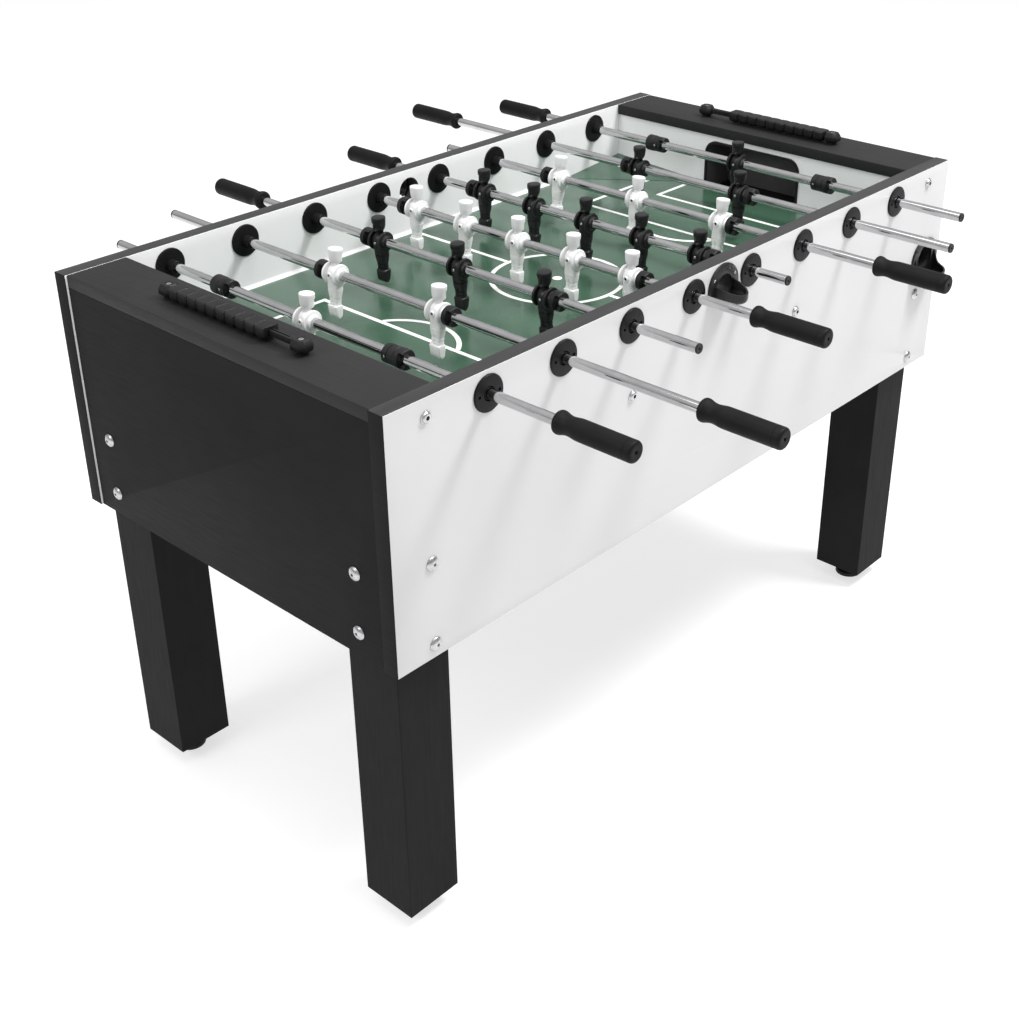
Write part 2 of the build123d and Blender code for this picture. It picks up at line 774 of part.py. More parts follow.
finish(bead_row(-1), "left_scorer_beads")
finish(bead_row(1), "right_scorer_beads")
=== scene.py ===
"""Foosball table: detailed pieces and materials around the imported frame. Blender 4.5, metres.

X runs along the table, Y along the rods, Z is up. The front side panel is at -Y.
"""
import math

import bmesh
import bpy
from mathutils import Matrix, Vector


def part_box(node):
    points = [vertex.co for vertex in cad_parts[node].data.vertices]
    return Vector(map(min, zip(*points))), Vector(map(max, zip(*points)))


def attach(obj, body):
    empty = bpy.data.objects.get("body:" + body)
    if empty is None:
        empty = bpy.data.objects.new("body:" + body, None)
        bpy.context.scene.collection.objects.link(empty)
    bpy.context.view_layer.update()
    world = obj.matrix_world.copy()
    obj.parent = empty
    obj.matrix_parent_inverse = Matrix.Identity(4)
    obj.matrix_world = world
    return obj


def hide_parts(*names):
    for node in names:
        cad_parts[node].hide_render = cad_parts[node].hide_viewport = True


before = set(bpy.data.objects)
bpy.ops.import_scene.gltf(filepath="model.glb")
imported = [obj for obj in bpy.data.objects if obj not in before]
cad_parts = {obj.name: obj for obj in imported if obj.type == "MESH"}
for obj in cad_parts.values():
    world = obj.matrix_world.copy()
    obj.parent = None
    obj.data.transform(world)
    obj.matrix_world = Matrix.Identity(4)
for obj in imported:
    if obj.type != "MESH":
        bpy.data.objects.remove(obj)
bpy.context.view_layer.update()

MM = 0.001
SEGMENTS = 56
ROD_NUMBERS = range(1, 9)
WHITE_RODS = (1, 2, 4, 6)


# ---------------------------------------------------------------- materials
class Surface:
    """A Principled material whose colour, roughness and bump come from procedural nodes."""

    def __init__(self, name, roughness, metallic=0.0, coat=0.0, coat_roughness=0.1, specular=0.5):
        self.material = bpy.data.materials.new(name)
        self.material.use_nodes = True
        self.tree = self.material.node_tree
        self.shader = self.tree.nodes["Principled BSDF"]
        self.shader.inputs["Roughness"].default_value = roughness
        self.shader.inputs["Metallic"].default_value = metallic
        self.shader.inputs["Coat Weight"].default_value = coat
        self.shader.inputs["Coat Roughness"].default_value = coat_roughness
        self.shader.inputs["Specular IOR Level"].default_value = specular
        self.place = self.tree.nodes.new("ShaderNodeTexCoord").outputs["Object"]
        self.heights = []

    def node(self, kind, **settings):
        made = self.tree.nodes.new(kind)
        for key, value in settings.items():
            setattr(made, key, value)
        return made

    def link(self, source, target):
        self.tree.links.new(source, target)

    def noise(self, scale, detail=4.0, roughness=0.55, stretch=(1, 1, 1)):
        """Noise with a feature size of about 1/scale metres, stretched along the axes."""
        mapping = self.node("ShaderNodeMapping")
        mapping.inputs["Scale"].default_value = stretch
        self.link(self.place, mapping.inputs["Vector"])
        made = self.node("ShaderNodeTexNoise")
        made.inputs["Scale"].default_value = scale
        made.inputs["Detail"].default_value = detail
        made.inputs["Roughness"].default_value = roughness
        self.link(mapping.outputs["Vector"], made.inputs["Vector"])
        return made.outputs["Fac"]

    def ramp(self, value, low, high, start=0.3, end=0.7):
        """Turns a value into a colour between two, or a grey level when low and high are numbers."""
        made = self.node("ShaderNodeValToRGB")
        made.color_ramp.elements[0].position = start
        made.color_ramp.elements[1].position = end
        for element, colour in zip(made.color_ramp.elements, (low, high)):
            grey = isinstance(colour, (int, float))
            element.color = (colour, colour, colour, 1) if grey else (*colour, 1)
        self.link(value, made.inputs["Fac"])
        return made.outputs["Color"]

    def mix(self, factor, low, high):
        made = self.node("ShaderNodeMix", data_type="RGBA")
        self.link(factor, made.inputs[0])
        for source, socket in ((low, made.inputs[6]), (high, made.inputs[7])):
            if isinstance(source, tuple):
                socket.default_value = (*source, 1)
            else:
                self.link(source, socket)
        return made.outputs[2]

    def colour(self, source):
        self.link(source, self.shader.inputs["Base Color"])

    def rough(self, value, low, high):
        self.link(self.ramp(value, low, high), self.shader.inputs["Roughness"])

    def bump(self, value, depth, strength=1.0):
        """Adds relief of about depth metres."""
        made = self.node("ShaderNodeBump")
        made.inputs["Strength"].default_value = strength
        made.inputs["Distance"].default_value = depth
        self.link(value, made.inputs["Height"])
        if self.heights:
            self.link(self.heights[-1], made.inputs["Normal"])
        self.heights.append(made.outputs["Normal"])
        self.link(made.outputs["Normal"], self.shader.inputs["Normal"])

    def facing(self, axis):
        """1 where the surface faces along the axis (0 X, 1 Y, 2 Z) either way, else 0."""
        geometry = self.node("ShaderNodeNewGeometry")
        return self.beyond(geometry.outputs["Normal"], axis, 0.7)

    def beyond(self, vector, axis, limit):
        """1 where a vector's part along the axis is further from zero than the limit, else 0."""
        parts = self.node("ShaderNodeSeparateXYZ")
        self.link(vector, parts.inputs["Vector"])
        size = self.node("ShaderNodeMath", operation="ABSOLUTE")
        self.link(parts.outputs[axis], size.inputs[0])
        step = self.node("ShaderNodeMath", operation="GREATER_THAN")
        step.inputs[1].default_value = limit
        self.link(size.outputs[0], step.inputs[0])
        return step.outputs[0]


def plastic(name, dark, light, roughness, grain=900.0, depth=0.00004, coat=0.0, specular=0.5):
    """Moulded plastic or rubber: fine grain, cloudy colour and uneven gloss."""
    made = Surface(name, roughness, coat=coat, specular=specular)
    cloud = made.noise(22.0)
    made.colour(made.ramp(cloud, dark, light))
    made.rough(made.noise(60.0), roughness - 0.06, roughness + 0.06)
    made.bump(made.noise(grain, detail=2.0), depth)
    return made.material


def white_board(name, low, high):
    """White laminate on both faces, with a black band round the edge."""
    made = Surface(name, 0.34, specular=0.4)
    face = made.ramp(made.noise(3.0), (low, low, low * 1.006), (high, high, high))
    grain = made.noise(40.0, stretch=(0.2, 1, 1))
    band = made.ramp(grain, (0.022, 0.022, 0.023), (0.032, 0.032, 0.033))
    made.colour(made.mix(made.facing(1), band, face))
    made.rough(made.noise(9.0), 0.30, 0.38)
    made.bump(made.noise(700.0, detail=2.0), 0.00003)
    made.bump(made.noise(14.0, detail=1.0), 0.0002, 0.25)
    return made.material


def inner_board():
    made = Surface("white_inner_laminate", 0.32, specular=0.45)
    made.colour(made.ramp(made.noise(3.5), (0.84, 0.845, 0.845), (0.87, 0.87, 0.87)))
    made.rough(made.noise(9.0), 0.28, 0.36)
    made.bump(made.noise(700.0, detail=2.0), 0.00003)
    return made.material


def black_board(name, stretch, dark, light, specular):
    """Black laminate with a faint pressed grain and slightly uneven sheen."""
    made = Surface(name, 0.58, specular=specular)
    grain = made.noise(260.0, detail=5.0, stretch=stretch)
    made.colour(made.ramp(made.noise(5.0), (dark, dark, dark * 1.05), (light, light, light * 1.04)))
    made.rough(grain, 0.54, 0.64)
    made.bump(grain, 0.00006, 0.5)
    made.bump(made.noise(1500.0, detail=2.0), 0.00002)
    return made.material


def field_green():
    """Green playing surface under a clear wear layer, with faint scuffs from the ball."""
    made = Surface("field_laminate", 0.22, coat=0.25, coat_roughness=0.12, specular=0.5)
    cloud = made.noise(2.6)
    speckle = made.noise(900.0, detail=2.0)
    base = made.ramp(cloud, (0.037, 0.084, 0.053), (0.043, 0.095, 0.060))
    made.colour(made.mix(made.ramp(speckle, 0.0, 0.35), base, (0.056, 0.118, 0.078)))
    scuffs = made.noise(30.0, detail=8.0, stretch=(0.25, 1, 1))
    made.rough(scuffs, 0.17, 0.27)
    made.bump(speckle, 0.00002)
    return made.material


def chrome():
    """Polished steel tube with fine drawing lines along Y and light handling marks."""
    made = Surface("rod_steel", 0.09, metallic=1.0)
    lines = made.noise(1400.0, detail=2.0, stretch=(1, 0.01, 1))
    made.colour(made.ramp(made.noise(35.0), (0.54, 0.54, 0.55), (0.62, 0.62, 0.63)))
    made.rough(lines, 0.04, 0.11)
    made.bump(lines, 0.00001, 0.5)
    return made.material


def steel(name, low, high, roughness):
    made = Surface(name, roughness, metallic=1.0)
    made.colour(made.ramp(made.noise(180.0), low, high))
    made.rough(made.noise(500.0), roughness - 0.08, roughness + 0.08)
    made.bump(made.noise(2500.0, detail=2.0), 0.00001)
    return made.material


GOAL_RIM_BACK = 0.6065


def goal_plastic():
    """Black moulding with a mottled tone; past its rim the inside is a lighter grey, painted light
    standing in for light falling into the goal.
    """
    made = Surface("goal_plastic", 0.4, specular=0.28)
    painted_light_mask = made.beyond(made.place, 0, GOAL_RIM_BACK)
    scuffs = made.noise(45.0, detail=6.0)
    rim = made.ramp(scuffs, (0.009, 0.009, 0.010), (0.014, 0.014, 0.014))
    # The lighter grey for the inside is painted light, not a colour of the plastic.
    inside = made.ramp(scuffs, (0.085, 0.084, 0.084), (0.105, 0.104, 0.103))
    made.colour(made.mix(painted_light_mask, rim, inside))
    made.rough(made.noise(60.0), 0.32, 0.46)
    made.bump(made.noise(900.0, detail=2.0), 0.00004)
    return made.material


def bare_wood():
    made = Surface("plywood", 0.7)
    rings = made.noise(40.0, detail=6.0, stretch=(1, 0.05, 1))
    made.colour(made.ramp(rings, (0.42, 0.28, 0.16), (0.62, 0.46, 0.29)))
    made.bump(rings, 0.0002)
    return made.material


# The front board is the same white laminate as the back board, but its colour is painted darker: painted
# shade for its less lit faces.
FRONT_BOARD_PAINTED_SHADE = white_board("front_laminate_painted_shade", 0.60, 0.64)
BACK_BOARD = white_board("back_laminate_board", 0.84, 0.87)
INNER_BOARD = inner_board()
END_BOARD = black_board("end_laminate", (1, 0.06, 1), 0.013, 0.017, 0.05)
LEDGE_BOARD = black_board("ledge_laminate", (1, 0.06, 1), 0.017, 0.022, 0.2)
LEG_BOARD = black_board("leg_laminate", (1, 1, 0.06), 0.008, 0.012, 0.09)
FIELD = field_green()
MARKING = plastic("marking_ink", (0.80, 0.80, 0.79), (0.86, 0.86, 0.85), 0.28, depth=0.00001)
STRIP = plastic("strip_plastic", (0.76, 0.77, 0.77), (0.82, 0.82, 0.82), 0.35)
CHROME = chrome()
BOLT_STEEL = steel("bolt_steel", (0.42, 0.42, 0.43), (0.60, 0.60, 0.61), 0.28)
SOCKET_DARK = steel("socket_shadow", (0.03, 0.03, 0.03), (0.06, 0.06, 0.06), 0.5)
WOOD = bare_wood()
DARK_PLASTIC = ((0.008, 0.008, 0.009), (0.013, 0.013, 0.013))
NYLON = plastic("bearing_nylon", (0.006, 0.006, 0.006), (0.010, 0.010, 0.010), 0.42, specular=0.14)
GRIP = plastic("grip_rubber", (0.005, 0.005, 0.005), (0.008, 0.008, 0.008), 0.5, grain=1300.0,
               depth=0.00012, specular=0.12)
RUBBER = plastic("bumper_rubber", *DARK_PLASTIC, 0.46, depth=0.00006, specular=0.28)
GOAL_PAINTED_LIGHT = goal_plastic()
CHUTE = plastic("chute_plastic", (0.012, 0.012, 0.013), (0.018, 0.018, 0.018), 0.42, specular=0.28)
CUP = plastic("cup_plastic", *DARK_PLASTIC, 0.3, specular=0.3)
SCORER = plastic("scorer_plastic", *DARK_PLASTIC, 0.42, depth=0.00006, specular=0.25)
FOOT = plastic("foot_plastic", (0.009, 0.009, 0.010), (0.014, 0.014, 0.014), 0.5, specular=0.25)
WHITE_MEN = plastic("white_men_plastic", (0.80, 0.80, 0.80), (0.85, 0.85, 0.85), 0.33, depth=0.00003)
BLACK_MEN = plastic("black_men_plastic", (0.007, 0.007, 0.008), (0.012, 0.012, 0.012), 0.34,
                    depth=0.00004, specular=0.32)


# ---------------------------------------------------------------- mesh building, in millimetres
def fillet_path(points, radii, steps=5):
    """A 2-D outline whose corners are rounded by quadratic curves that start radius away."""
    made = []
    last = len(points) - 1
    for number, (point, radius) in enumerate(zip(points, radii)):
        if radius == 0 or number in (0, last):
            made.append(point)
            continue
        here = Vector(point)
        before = Vector(points[number - 1])
        after = Vector(points[number + 1])
        start = here + (before - here).normalized() * min(radius, (before - here).length * 0.49)
        end = here + (after - here).normalized() * min(radius, (after - here).length * 0.49)
        for step in range(steps + 1):
            t = step / steps
            curve = start * (1 - t) ** 2 + here * 2 * t * (1 - t) + end * t ** 2
            made.append((curve.x, curve.y))
    return made


def add_rings(bm, rings, loop=False):
    """Skins a row of equal-length vertex rings, with closed ends unless they loop."""
    made = [[bm.verts.new(point) for point in ring] for ring in rings]
    pairs = list(zip(made, made[1:]))
    if loop:
        pairs.append((made[-1], made[0]))
    for low, high in pairs:
        count = len(low)
        for n in range(count):
            bm.faces.new((low[n], low[(n + 1) % count], high[(n + 1) % count], high[n]))
    if not loop:
        bm.faces.new(list(reversed(made[0])))
        bm.faces.new(made[-1])


def turned(bm, outline, place, segments=SEGMENTS, loop=False):
    """A body of revolution: outline points are (along, radius), turned about local Z."""
    rings = []
    for along, radius in outline:
        ring = []
        for n in range(segments):
            angle = 2 * math.pi * n / segments
            ring.append(place @ Vector((radius * math.cos(angle), radius * math.sin(angle), along)))
        rings.append(ring)
    add_rings(bm, rings, loop=loop)


def superellipse(x, y, z, half_x, half_y, power, count=44):
    """A ring in a level plane, from an ellipse at power 2 to a rounded box at high powers."""
    ring = []
    for n in range(count):
        angle = 2 * math.pi * n / count
        c = math.cos(angle)
        s = math.sin(angle)
        ring.append(Vector((x + half_x * math.copysign(abs(c) ** (2 / power), c),
                            y + half_y * math.copysign(abs(s) ** (2 / power), s), z)))
    return ring


def along_y(x, y, z, side=1):
    """Local Z runs along +Y or -Y from this point."""
    return Matrix.Translation((x, y, z)) @ Matrix.Rotation(-side * math.pi / 2, 4, "X")


def along_x(x, y, z, side=1):
    return Matrix.Translation((x, y, z)) @ Matrix.Rotation(side * math.pi / 2, 4, "Y")


def put(name, data):
    """A new object in the scene."""
    made = bpy.data.objects.new(name, data)
    bpy.context.scene.collection.objects.link(made)
    return made


def solid(name, build, *arguments):
    """A mesh object from a function that fills a bmesh, in millimetres."""
    bm = bmesh.new()
    build(bm, *arguments)
    bmesh.ops.recalc_face_normals(bm, faces=bm.faces)
    mesh = bpy.data.meshes.new(name)
    bm.to_mesh(mesh)
    bm.free()
    return put(name, mesh)


def cut(build, *arguments):
    """A step for combined() that takes a solid away."""
    return "DIFFERENCE", solid("cut", build, *arguments)


def join(build, *arguments):
    """A step for combined() that adds a solid."""
    return "UNION", solid("join", build, *arguments)


def combined(first, *steps):
    """The mesh of a solid after a row of steps: ("UNION" or "DIFFERENCE", solid) pairs."""
    for operation, other in steps:
        change = first.modifiers.new("combine", "BOOLEAN")
        change.operation = operation
        change.solver = "MANIFOLD"
        change.object = other
    bpy.context.view_layer.update()
    seen = first.evaluated_get(bpy.context.evaluated_depsgraph_get())
    mesh = bpy.data.meshes.new_from_object(seen)
    for spent in [first] + [other for operation, other in steps]:
        bpy.data.objects.remove(spent)
    return mesh


def mesh_of(made):
    """The mesh of a scratch object, which is then removed."""
    mesh = made.data
    bpy.data.objects.remove(made)
    return mesh


def assemble(name, parts, sharp_from=32):
    """One mesh in metres from (mesh, place, material) parts, sharp where faces turn by this angle."""
    bm = bmesh.new()
    materials = []
    for mesh, place, material in parts:
        if material not in materials:
            materials.append(material)
        vertex_start = len(bm.verts)
        face_start = len(bm.faces)
        bm.from_mesh(mesh)
        bm.verts.ensure_lookup_table()
        bm.faces.ensure_lookup_table()
        bmesh.ops.transform(bm, matrix=place, verts=bm.verts[vertex_start:])
        for face in bm.faces[face_start:]:
            face.material_index = materials.index(material)
    bmesh.ops.scale(bm, vec=(MM, MM, MM), verts=bm.verts)
    whole = bpy.data.meshes.new(name)
    bm.to_mesh(whole)
    bm.free()
    for material in materials:
        whole.materials.append(material)
    whole.shade_smooth()
    whole.set_sharp_from_angle(angle=math.radians(sharp_from))
    return put(name, whole)


def centre(node):
    low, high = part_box(node)
    return (low + high) / 2 / MM


def corners(node):
    """A CAD node's lowest and highest corner in millimetres."""
    low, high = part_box(node)
    return low / MM, high / MM


# ---------------------------------------------------------------- driving sizes from the frame
rod_place = {n: centre(f"rod_{n}_sleeves") for n in ROD_NUMBERS}
rod_radius = (corners("rod_1")[1].x - corners("rod_1")[0].x) / 2
outer_y = corners("back_side_panel")[1].y
inner_y = corners("back_side_panel")[0].y
top_z = corners("back_side_panel")[1].z
field_z = corners("playfield")[1].z
men_counts = dict(zip(ROD_NUMBERS, (1, 2, 3, 5, 5, 3, 2, 1)))
handle_side = {n: 1 if corners(f"rod_{n}_handle")[1].y > 400 else -1 for n in ROD_NUMBERS}
ORIGIN = Matrix.Identity(4)


# ---------------------------------------------------------------- CAD nodes that stay
def soften(node, width, material):
    """Gives a CAD node its material and a fine rounded edge."""
    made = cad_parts[node]
    for place in made.material_slots:
        place.material = material
    weld = made.modifiers.new("weld", "WELD")
    weld.merge_threshold = 0.00001
    edge = made.modifiers.new("edge", "BEVEL")
    edge.width = width * MM
    edge.segments = 2
    edge.limit_method = "ANGLE"
    edge.angle_limit = math.radians(40)
    normals = made.modifiers.new("normals", "WEIGHTED_NORMAL")
    normals.keep_sharp = True


for node, width, material in (
    ("inner_end_walls", 0.5, INNER_BOARD),
    ("corner_ramps", 0.4, FIELD),
    ("side_strips", 0.2, STRIP),
    ("cross_beams", 1.5, WOOD),
    ("legs", 1.2, LEG_BOARD),
    ("ball_chutes", 0.6, CHUTE),
    ("goal_boxes", 0.6, GOAL_PAINTED_LIGHT),
):
    soften(node, width, material)
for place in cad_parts["playfield"].material_slots:
    place.material = FIELD


# ---------------------------------------------------------------- panels with eased edges
SERVING = (0.0, 864.8, 24.0)
RETURN = (656.5, 730.0, 26.0)
BOLT_HOLE = 4.1
LEG_BOLT_X = 638.5
LEG_BOLT_Z = (527.0, 657.5)
END_BOLT_Y = 289.0
END_BOLT_Z = (544.4, 640.5)
CORNER_BOLT = (639.0, 877.0)
BEAM_BOLT = (218.0, (corners("cross_beams")[0].z + corners("cross_beams")[1].z) / 2)
ledge_low, ledge_high = corners("end_ledges")
end_low, end_high = corners("end_panels")
ROD_HOLE = 15.5
SIDE_EASE = 0.8
END_EASE = 0.7
LEDGE_EASE = 1.0
LEDGE_WIDTH = 105.3
END_INNER_X = end_high.x - 18.5


def board(bm, low, high, ease):
    """A board between two corners, with every edge eased."""
    block(bm, low, high)
    bmesh.ops.recalc_face_normals(bm, faces=bm.faces)
    bmesh.ops.bevel(bm, geom=list(bm.edges), offset=ease, segments=3, profile=0.5, affect="EDGES")


def add_side_panel(node, side, material):
    """A white side board drilled for rods, cups and bolts, its ends banded in black; the end faces are
    painted darker than the band on top, as painted shade.
    """
    low, high = corners(node)
    holes = [(rod_place[n].x, rod_place[n].z, ROD_HOLE) for n in ROD_NUMBERS]
    holes += [SERVING, (-side * RETURN[0], RETURN[1], RETURN[2])]
    for end in (-1, 1):
        for x, z in [(LEG_BOLT_X, z) for z in LEG_BOLT_Z] + [CORNER_BOLT, BEAM_BOLT]:
            holes.append((end * x, z, BOLT_HOLE))
    cuts = [cut(cylinder, radius, inner_y - 5, outer_y + 5, along_y(x, 0, z, side))
            for x, z, radius in holes]
    mesh = combined(solid("board", board, low, high, SIDE_EASE), *cuts)
    made = assemble(f"{node}_board", [(mesh, ORIGIN, material)], sharp_from=15)
    # The end faces take the darker end laminate: the band is really black there, and the extra darkness
    # against its top is painted shade.
    made.data.materials.append(END_BOARD)
    for face in made.data.polygons:
        if abs(face.center.x) > (high.x - SIDE_EASE) * MM:
            face.material_index = 1
    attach(made, "cabinet")
    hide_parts(node)


def add_end_boards():
    """The black end panels and the ledges above them."""
    ledge_inner = ledge_high.x - LEDGE_WIDTH
    panels = []
    ledges = []
    for end in (-1, 1):
        near, far = sorted((end * END_INNER_X, end * end_high.x))
        cuts = [cut(cylinder, BOLT_HOLE, END_INNER_X - 5, end_high.x + 5,
                                     along_x(0, side * END_BOLT_Y, z, end))
                for side in (-1, 1) for z in END_BOLT_Z]
        low, high = (near, end_low.y, end_low.z), (far, end_high.y, end_high.z)
        panels.append((combined(solid("board", board, low, high, END_EASE), *cuts), ORIGIN, END_BOARD))
        near, far = sorted((end * ledge_inner, end * ledge_high.x))
        low, high = (near, ledge_low.y, ledge_low.z), (far, ledge_high.y, ledge_high.z)
        ledges.append((mesh_of(solid("board", board, low, high, LEDGE_EASE)), ORIGIN, LEDGE_BOARD))
    for node, parts in (("end_panels", panels), ("end_ledges", ledges)):
        made = assemble(f"{node}_boards", parts, sharp_from=15)
        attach(made, "cabinet")
        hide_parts(node)


# ---------------------------------------------------------------- field markings
MARK_WIDTH = 8.0
MARK_HEIGHT = 0.12
mark_x = 7.0
mark_y = -18.0
penalty_x = 332.0
penalty_y = 224.0
small_x = 473.0
small_y = 150.0
side_line_end = 559.0
arc_centre_x = 382.0
arc_radius = 101.0
circle_radius = 115.0
dot_radius = 8.5
STRIP_GAP = 7


def mark_strip(bm, start, end):
    """A straight marking between two points."""
    a = Vector((*start, field_z))
    b = Vector((*end, field_z))
    side = (b - a).normalized().cross(Vector((0, 0, 1))) * MARK_WIDTH / 2
    up = Vector((0, 0, MARK_HEIGHT))
    add_rings(bm, [[a - side, a + side, a + side + up, a - side + up],
                   [b - side, b + side, b + side + up, b - side + up]])


def mark_arc(bm, middle, radius, start, end, steps=72):
    """A curved marking between two angles in degrees."""
    whole = abs(end - start) >= 360
    rings = []
    for n in range(steps + (0 if whole else 1)):
        angle = math.radians(start + (end - start) * n / steps)
        ray = Vector((math.cos(angle), math.sin(angle), 0))
        near = Vector((*middle, field_z)) + ray * (radius - MARK_WIDTH / 2)
        far = Vector((*middle, field_z)) + ray * (radius + MARK_WIDTH / 2)
        up = Vector((0, 0, MARK_HEIGHT))
        rings.append([near, far, far + up, near + up])
    add_rings(bm, rings, loop=whole)


def field_marks(bm):
    half = MARK_WIDTH / 2
    for end in (-1, 1):
        for box_x, box_y in ((penalty_x, penalty_y), (small_x, small_y)):
            x = mark_x + end * box_x
            mark_strip(bm, (x, mark_y - box_y - half), (x, mark_y + box_y + half))
            for side in (-1, 1):
                y = mark_y + side * box_y
                mark_strip(bm, (x + end * half, y), (mark_x + end * side_line_end, y))
        middle = (mark_x + end * arc_centre_x, mark_y)
        reach = math.degrees(math.acos((arc_centre_x - penalty_x + half) / arc_radius))
        facing = 0 if end < 0 else 180
        mark_arc(bm, middle, arc_radius, facing - reach, facing + reach)
    mark_arc(bm, (mark_x, mark_y), circle_radius, 0, 360)
    for side in (-1, 1):
        limit = side * (inner_y - STRIP_GAP)
        mark_strip(bm, (mark_x, mark_y + side * (circle_radius + half)), (mark_x, limit))
    turned(bm, [(0, dot_radius), (MARK_HEIGHT * 1.3, dot_radius)],
           Matrix.Translation((mark_x, mark_y, field_z)))


marks = assemble("field_markings", [(mesh_of(solid("marks", field_marks)), ORIGIN, MARKING)])
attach(marks, "cabinet")


# ---------------------------------------------------------------- one man
def egg(z, back, front, half_y, power=2.1):
    """A level ring with its own reach to the back and to the front."""
    return superellipse((front - back) / 2, 0, z, (front + back) / 2, half_y, power)


def man_body(bm):
    """Chest, waist, thighs, socks and the wedge foot, facing +X."""
    add_rings(bm, [superellipse(*ring) for ring in (
        (0.0, 0, 14.0, 5.0, 6.0, 2.4),
        (0.0, 0, 12.6, 7.6, 8.0, 2.4),
        (0.2, 0, 9.5, 10.6, 9.8, 2.6),
        (0.3, 0, 5.0, 12.6, 10.4, 2.8),
        (0.3, 0, 0.0, 13.2, 10.6, 3.0),
        (0.3, 0, -6.0, 12.8, 10.6, 3.0),
        (0.2, 0, -13.0, 11.2, 10.9, 3.0),
        (0.0, 0, -20.0, 10.0, 11.4, 3.2),
        (0.0, 0, -23.2, 9.7, 11.7, 3.2),
        (0.0, 0, -23.6, 8.5, 10.4, 3.2),
        (0.0, 0, -24.6, 8.5, 10.4, 3.2),
        (0.0, 0, -25.0, 9.6, 11.7, 3.2),
        (0.1, 0, -30.0, 9.0, 11.3, 3.2),
        (0.2, 0, -36.0, 7.9, 10.4, 3.2),
        (0.2, 0, -39.2, 7.3, 9.8, 3.2),
        (0.2, 0, -39.6, 6.1, 8.6, 3.2),
        (0.2, 0, -40.6, 6.1, 8.6, 3.2),
        (0.2, 0, -41.0, 7.1, 9.7, 3.2),
        (0.2, 0, -45.3, 6.8, 9.4, 3.4),
        (0.2, 0, -45.7, 5.8, 8.4, 3.4),
        (0.2, 0, -46.5, 5.8, 8.4, 3.4),
        (0.2, 0, -46.9, 6.8, 9.4, 3.4),
        (0.0, 0, -50.8, 6.8, 9.6, 4.0),
        (-0.4, 0, -52.0, 7.9, 10.6, 6.0),
        (-0.4, 0, -52.8, 8.2, 10.9, 7.0),
        (0.1, 0, -58.5, 7.6, 10.9, 7.0),
        (0.8, 0, -66.5, 6.5, 10.7, 7.0),
        (1.3, 0, -69.2, 5.9, 10.6, 7.0),
        (1.5, 0, -72.0, 3.6, 10.3, 6.0),
        (1.5, 0, -73.4, 1.6, 9.9, 5.0),
        (1.5, 0, -73.9, 0.7, 9.4, 4.0),
    )])


def man_head(bm):
    """A flat-topped head with a chin that juts over a slim neck."""
    add_rings(bm, [egg(*ring) for ring in (
        (9.0, 6.9, 6.9, 6.9),
        (14.0, 6.4, 6.4, 6.4),
        (17.6, 6.5, 6.8, 6.5),
        (18.4, 6.6, 7.5, 6.6),
        (18.8, 7.0, 10.5, 7.0),
        (19.6, 8.0, 11.6, 7.8),
        (21.5, 9.3, 12.2, 8.6),
        (23.0, 9.9, 11.4, 9.1),
        (24.2, 10.2, 10.6, 9.4),
        (26.0, 10.7, 11.1, 9.9),
        (28.0, 11.0, 10.9, 10.2),
        (31.0, 11.2, 10.6, 10.5),
        (32.6, 11.3, 11.6, 10.9),
        (34.0, 11.4, 12.4, 11.2),
        (38.0, 11.6, 12.3, 11.5),
        (40.4, 11.7, 12.0, 11.7),
        (41.5, 11.2, 11.4, 11.2),
        (41.9, 9.9, 10.1, 9.9),
    )])


def man_face(bm):
    """The nose, a soft ridge down the front of the head."""
    add_rings(bm, [superellipse(*ring) for ring in (
        (8.0, 0, 23.7, 1.6, 1.4, 2.2),
        (8.4, 0, 24.3, 4.6, 2.7, 2.2),
        (8.6, 0, 25.4, 5.4, 2.9, 2.2),
        (8.4, 0, 27.2, 5.2, 2.3, 2.2),
        (8.0, 0, 30.0, 4.4, 1.8, 2.1),
        (7.6, 0, 32.6, 3.8, 1.5, 2.0),
        (7.0, 0, 34.0, 2.6, 1.2, 2.0),
    )])


def man_disc(bm, side):
    """A shoulder disc with a rounded rim, and the hub outside it."""
    outline = [(8.6, 9.0), (9.2, 16.6), (10.0, 17.5), (13.0, 17.5), (13.9, 16.8), (14.2, 12.6),
               (14.3, 11.6), (17.6, 11.2), (18.9, 10.4), (19.0, 6.0)]
    turned(bm, fillet_path(outline, (0, 1.2, 0.9, 0.9, 0.9, 0.6, 0.5, 0.9, 0.7, 0)),
           along_y(0, 0, 0, side))


def man_boss(bm):
    """The raised ring round the screw in the back."""
    outline = [(9.0, 5.6), (13.0, 5.2), (14.2, 4.6), (14.4, 3.9)]
    turned(bm, fillet_path(outline, (0, 1.0, 0.5, 0)), along_x(0, 0, SCREW_Z, -1), segments=32)


def cylinder(bm, radius, low, high, place):
    turned(bm, [(low, radius), (high, radius)], place)


def block(bm, low, high):
    """A plain cutter box."""
    rings = []
    for z in (low[2], high[2]):
        rings.append([Vector((low[0], low[1], z)), Vector((high[0], low[1], z)),
                      Vector((high[0], high[1], z)), Vector((low[0], high[1], z))])
    add_rings(bm, rings)


def man_mesh():
    """The whole moulded man, in millimetres about the rod's axis."""
    return combined(
        solid("body", man_body),
        join(man_head),
        join(man_face),
        join(man_disc, 1),
        join(man_disc, -1),
        join(man_boss),
        cut(cylinder, rod_radius + 0.06, -30, 30, along_y(0, 0, 0)),
        cut(cylinder, 2.7, 9.0, 30.0, along_x(0, 0, SCREW_Z, -1)),
        cut(cylinder, 2.9, 11.8, 30.0, along_x(0, 0, SCREW_Z, 1)),
        cut(block, (-12, -0.5, -51.0), (-5.6, 0.5, -33.0)),
        cut(block, (6.0, -0.5, -51.0), (12, 0.5, -33.0)),
    )


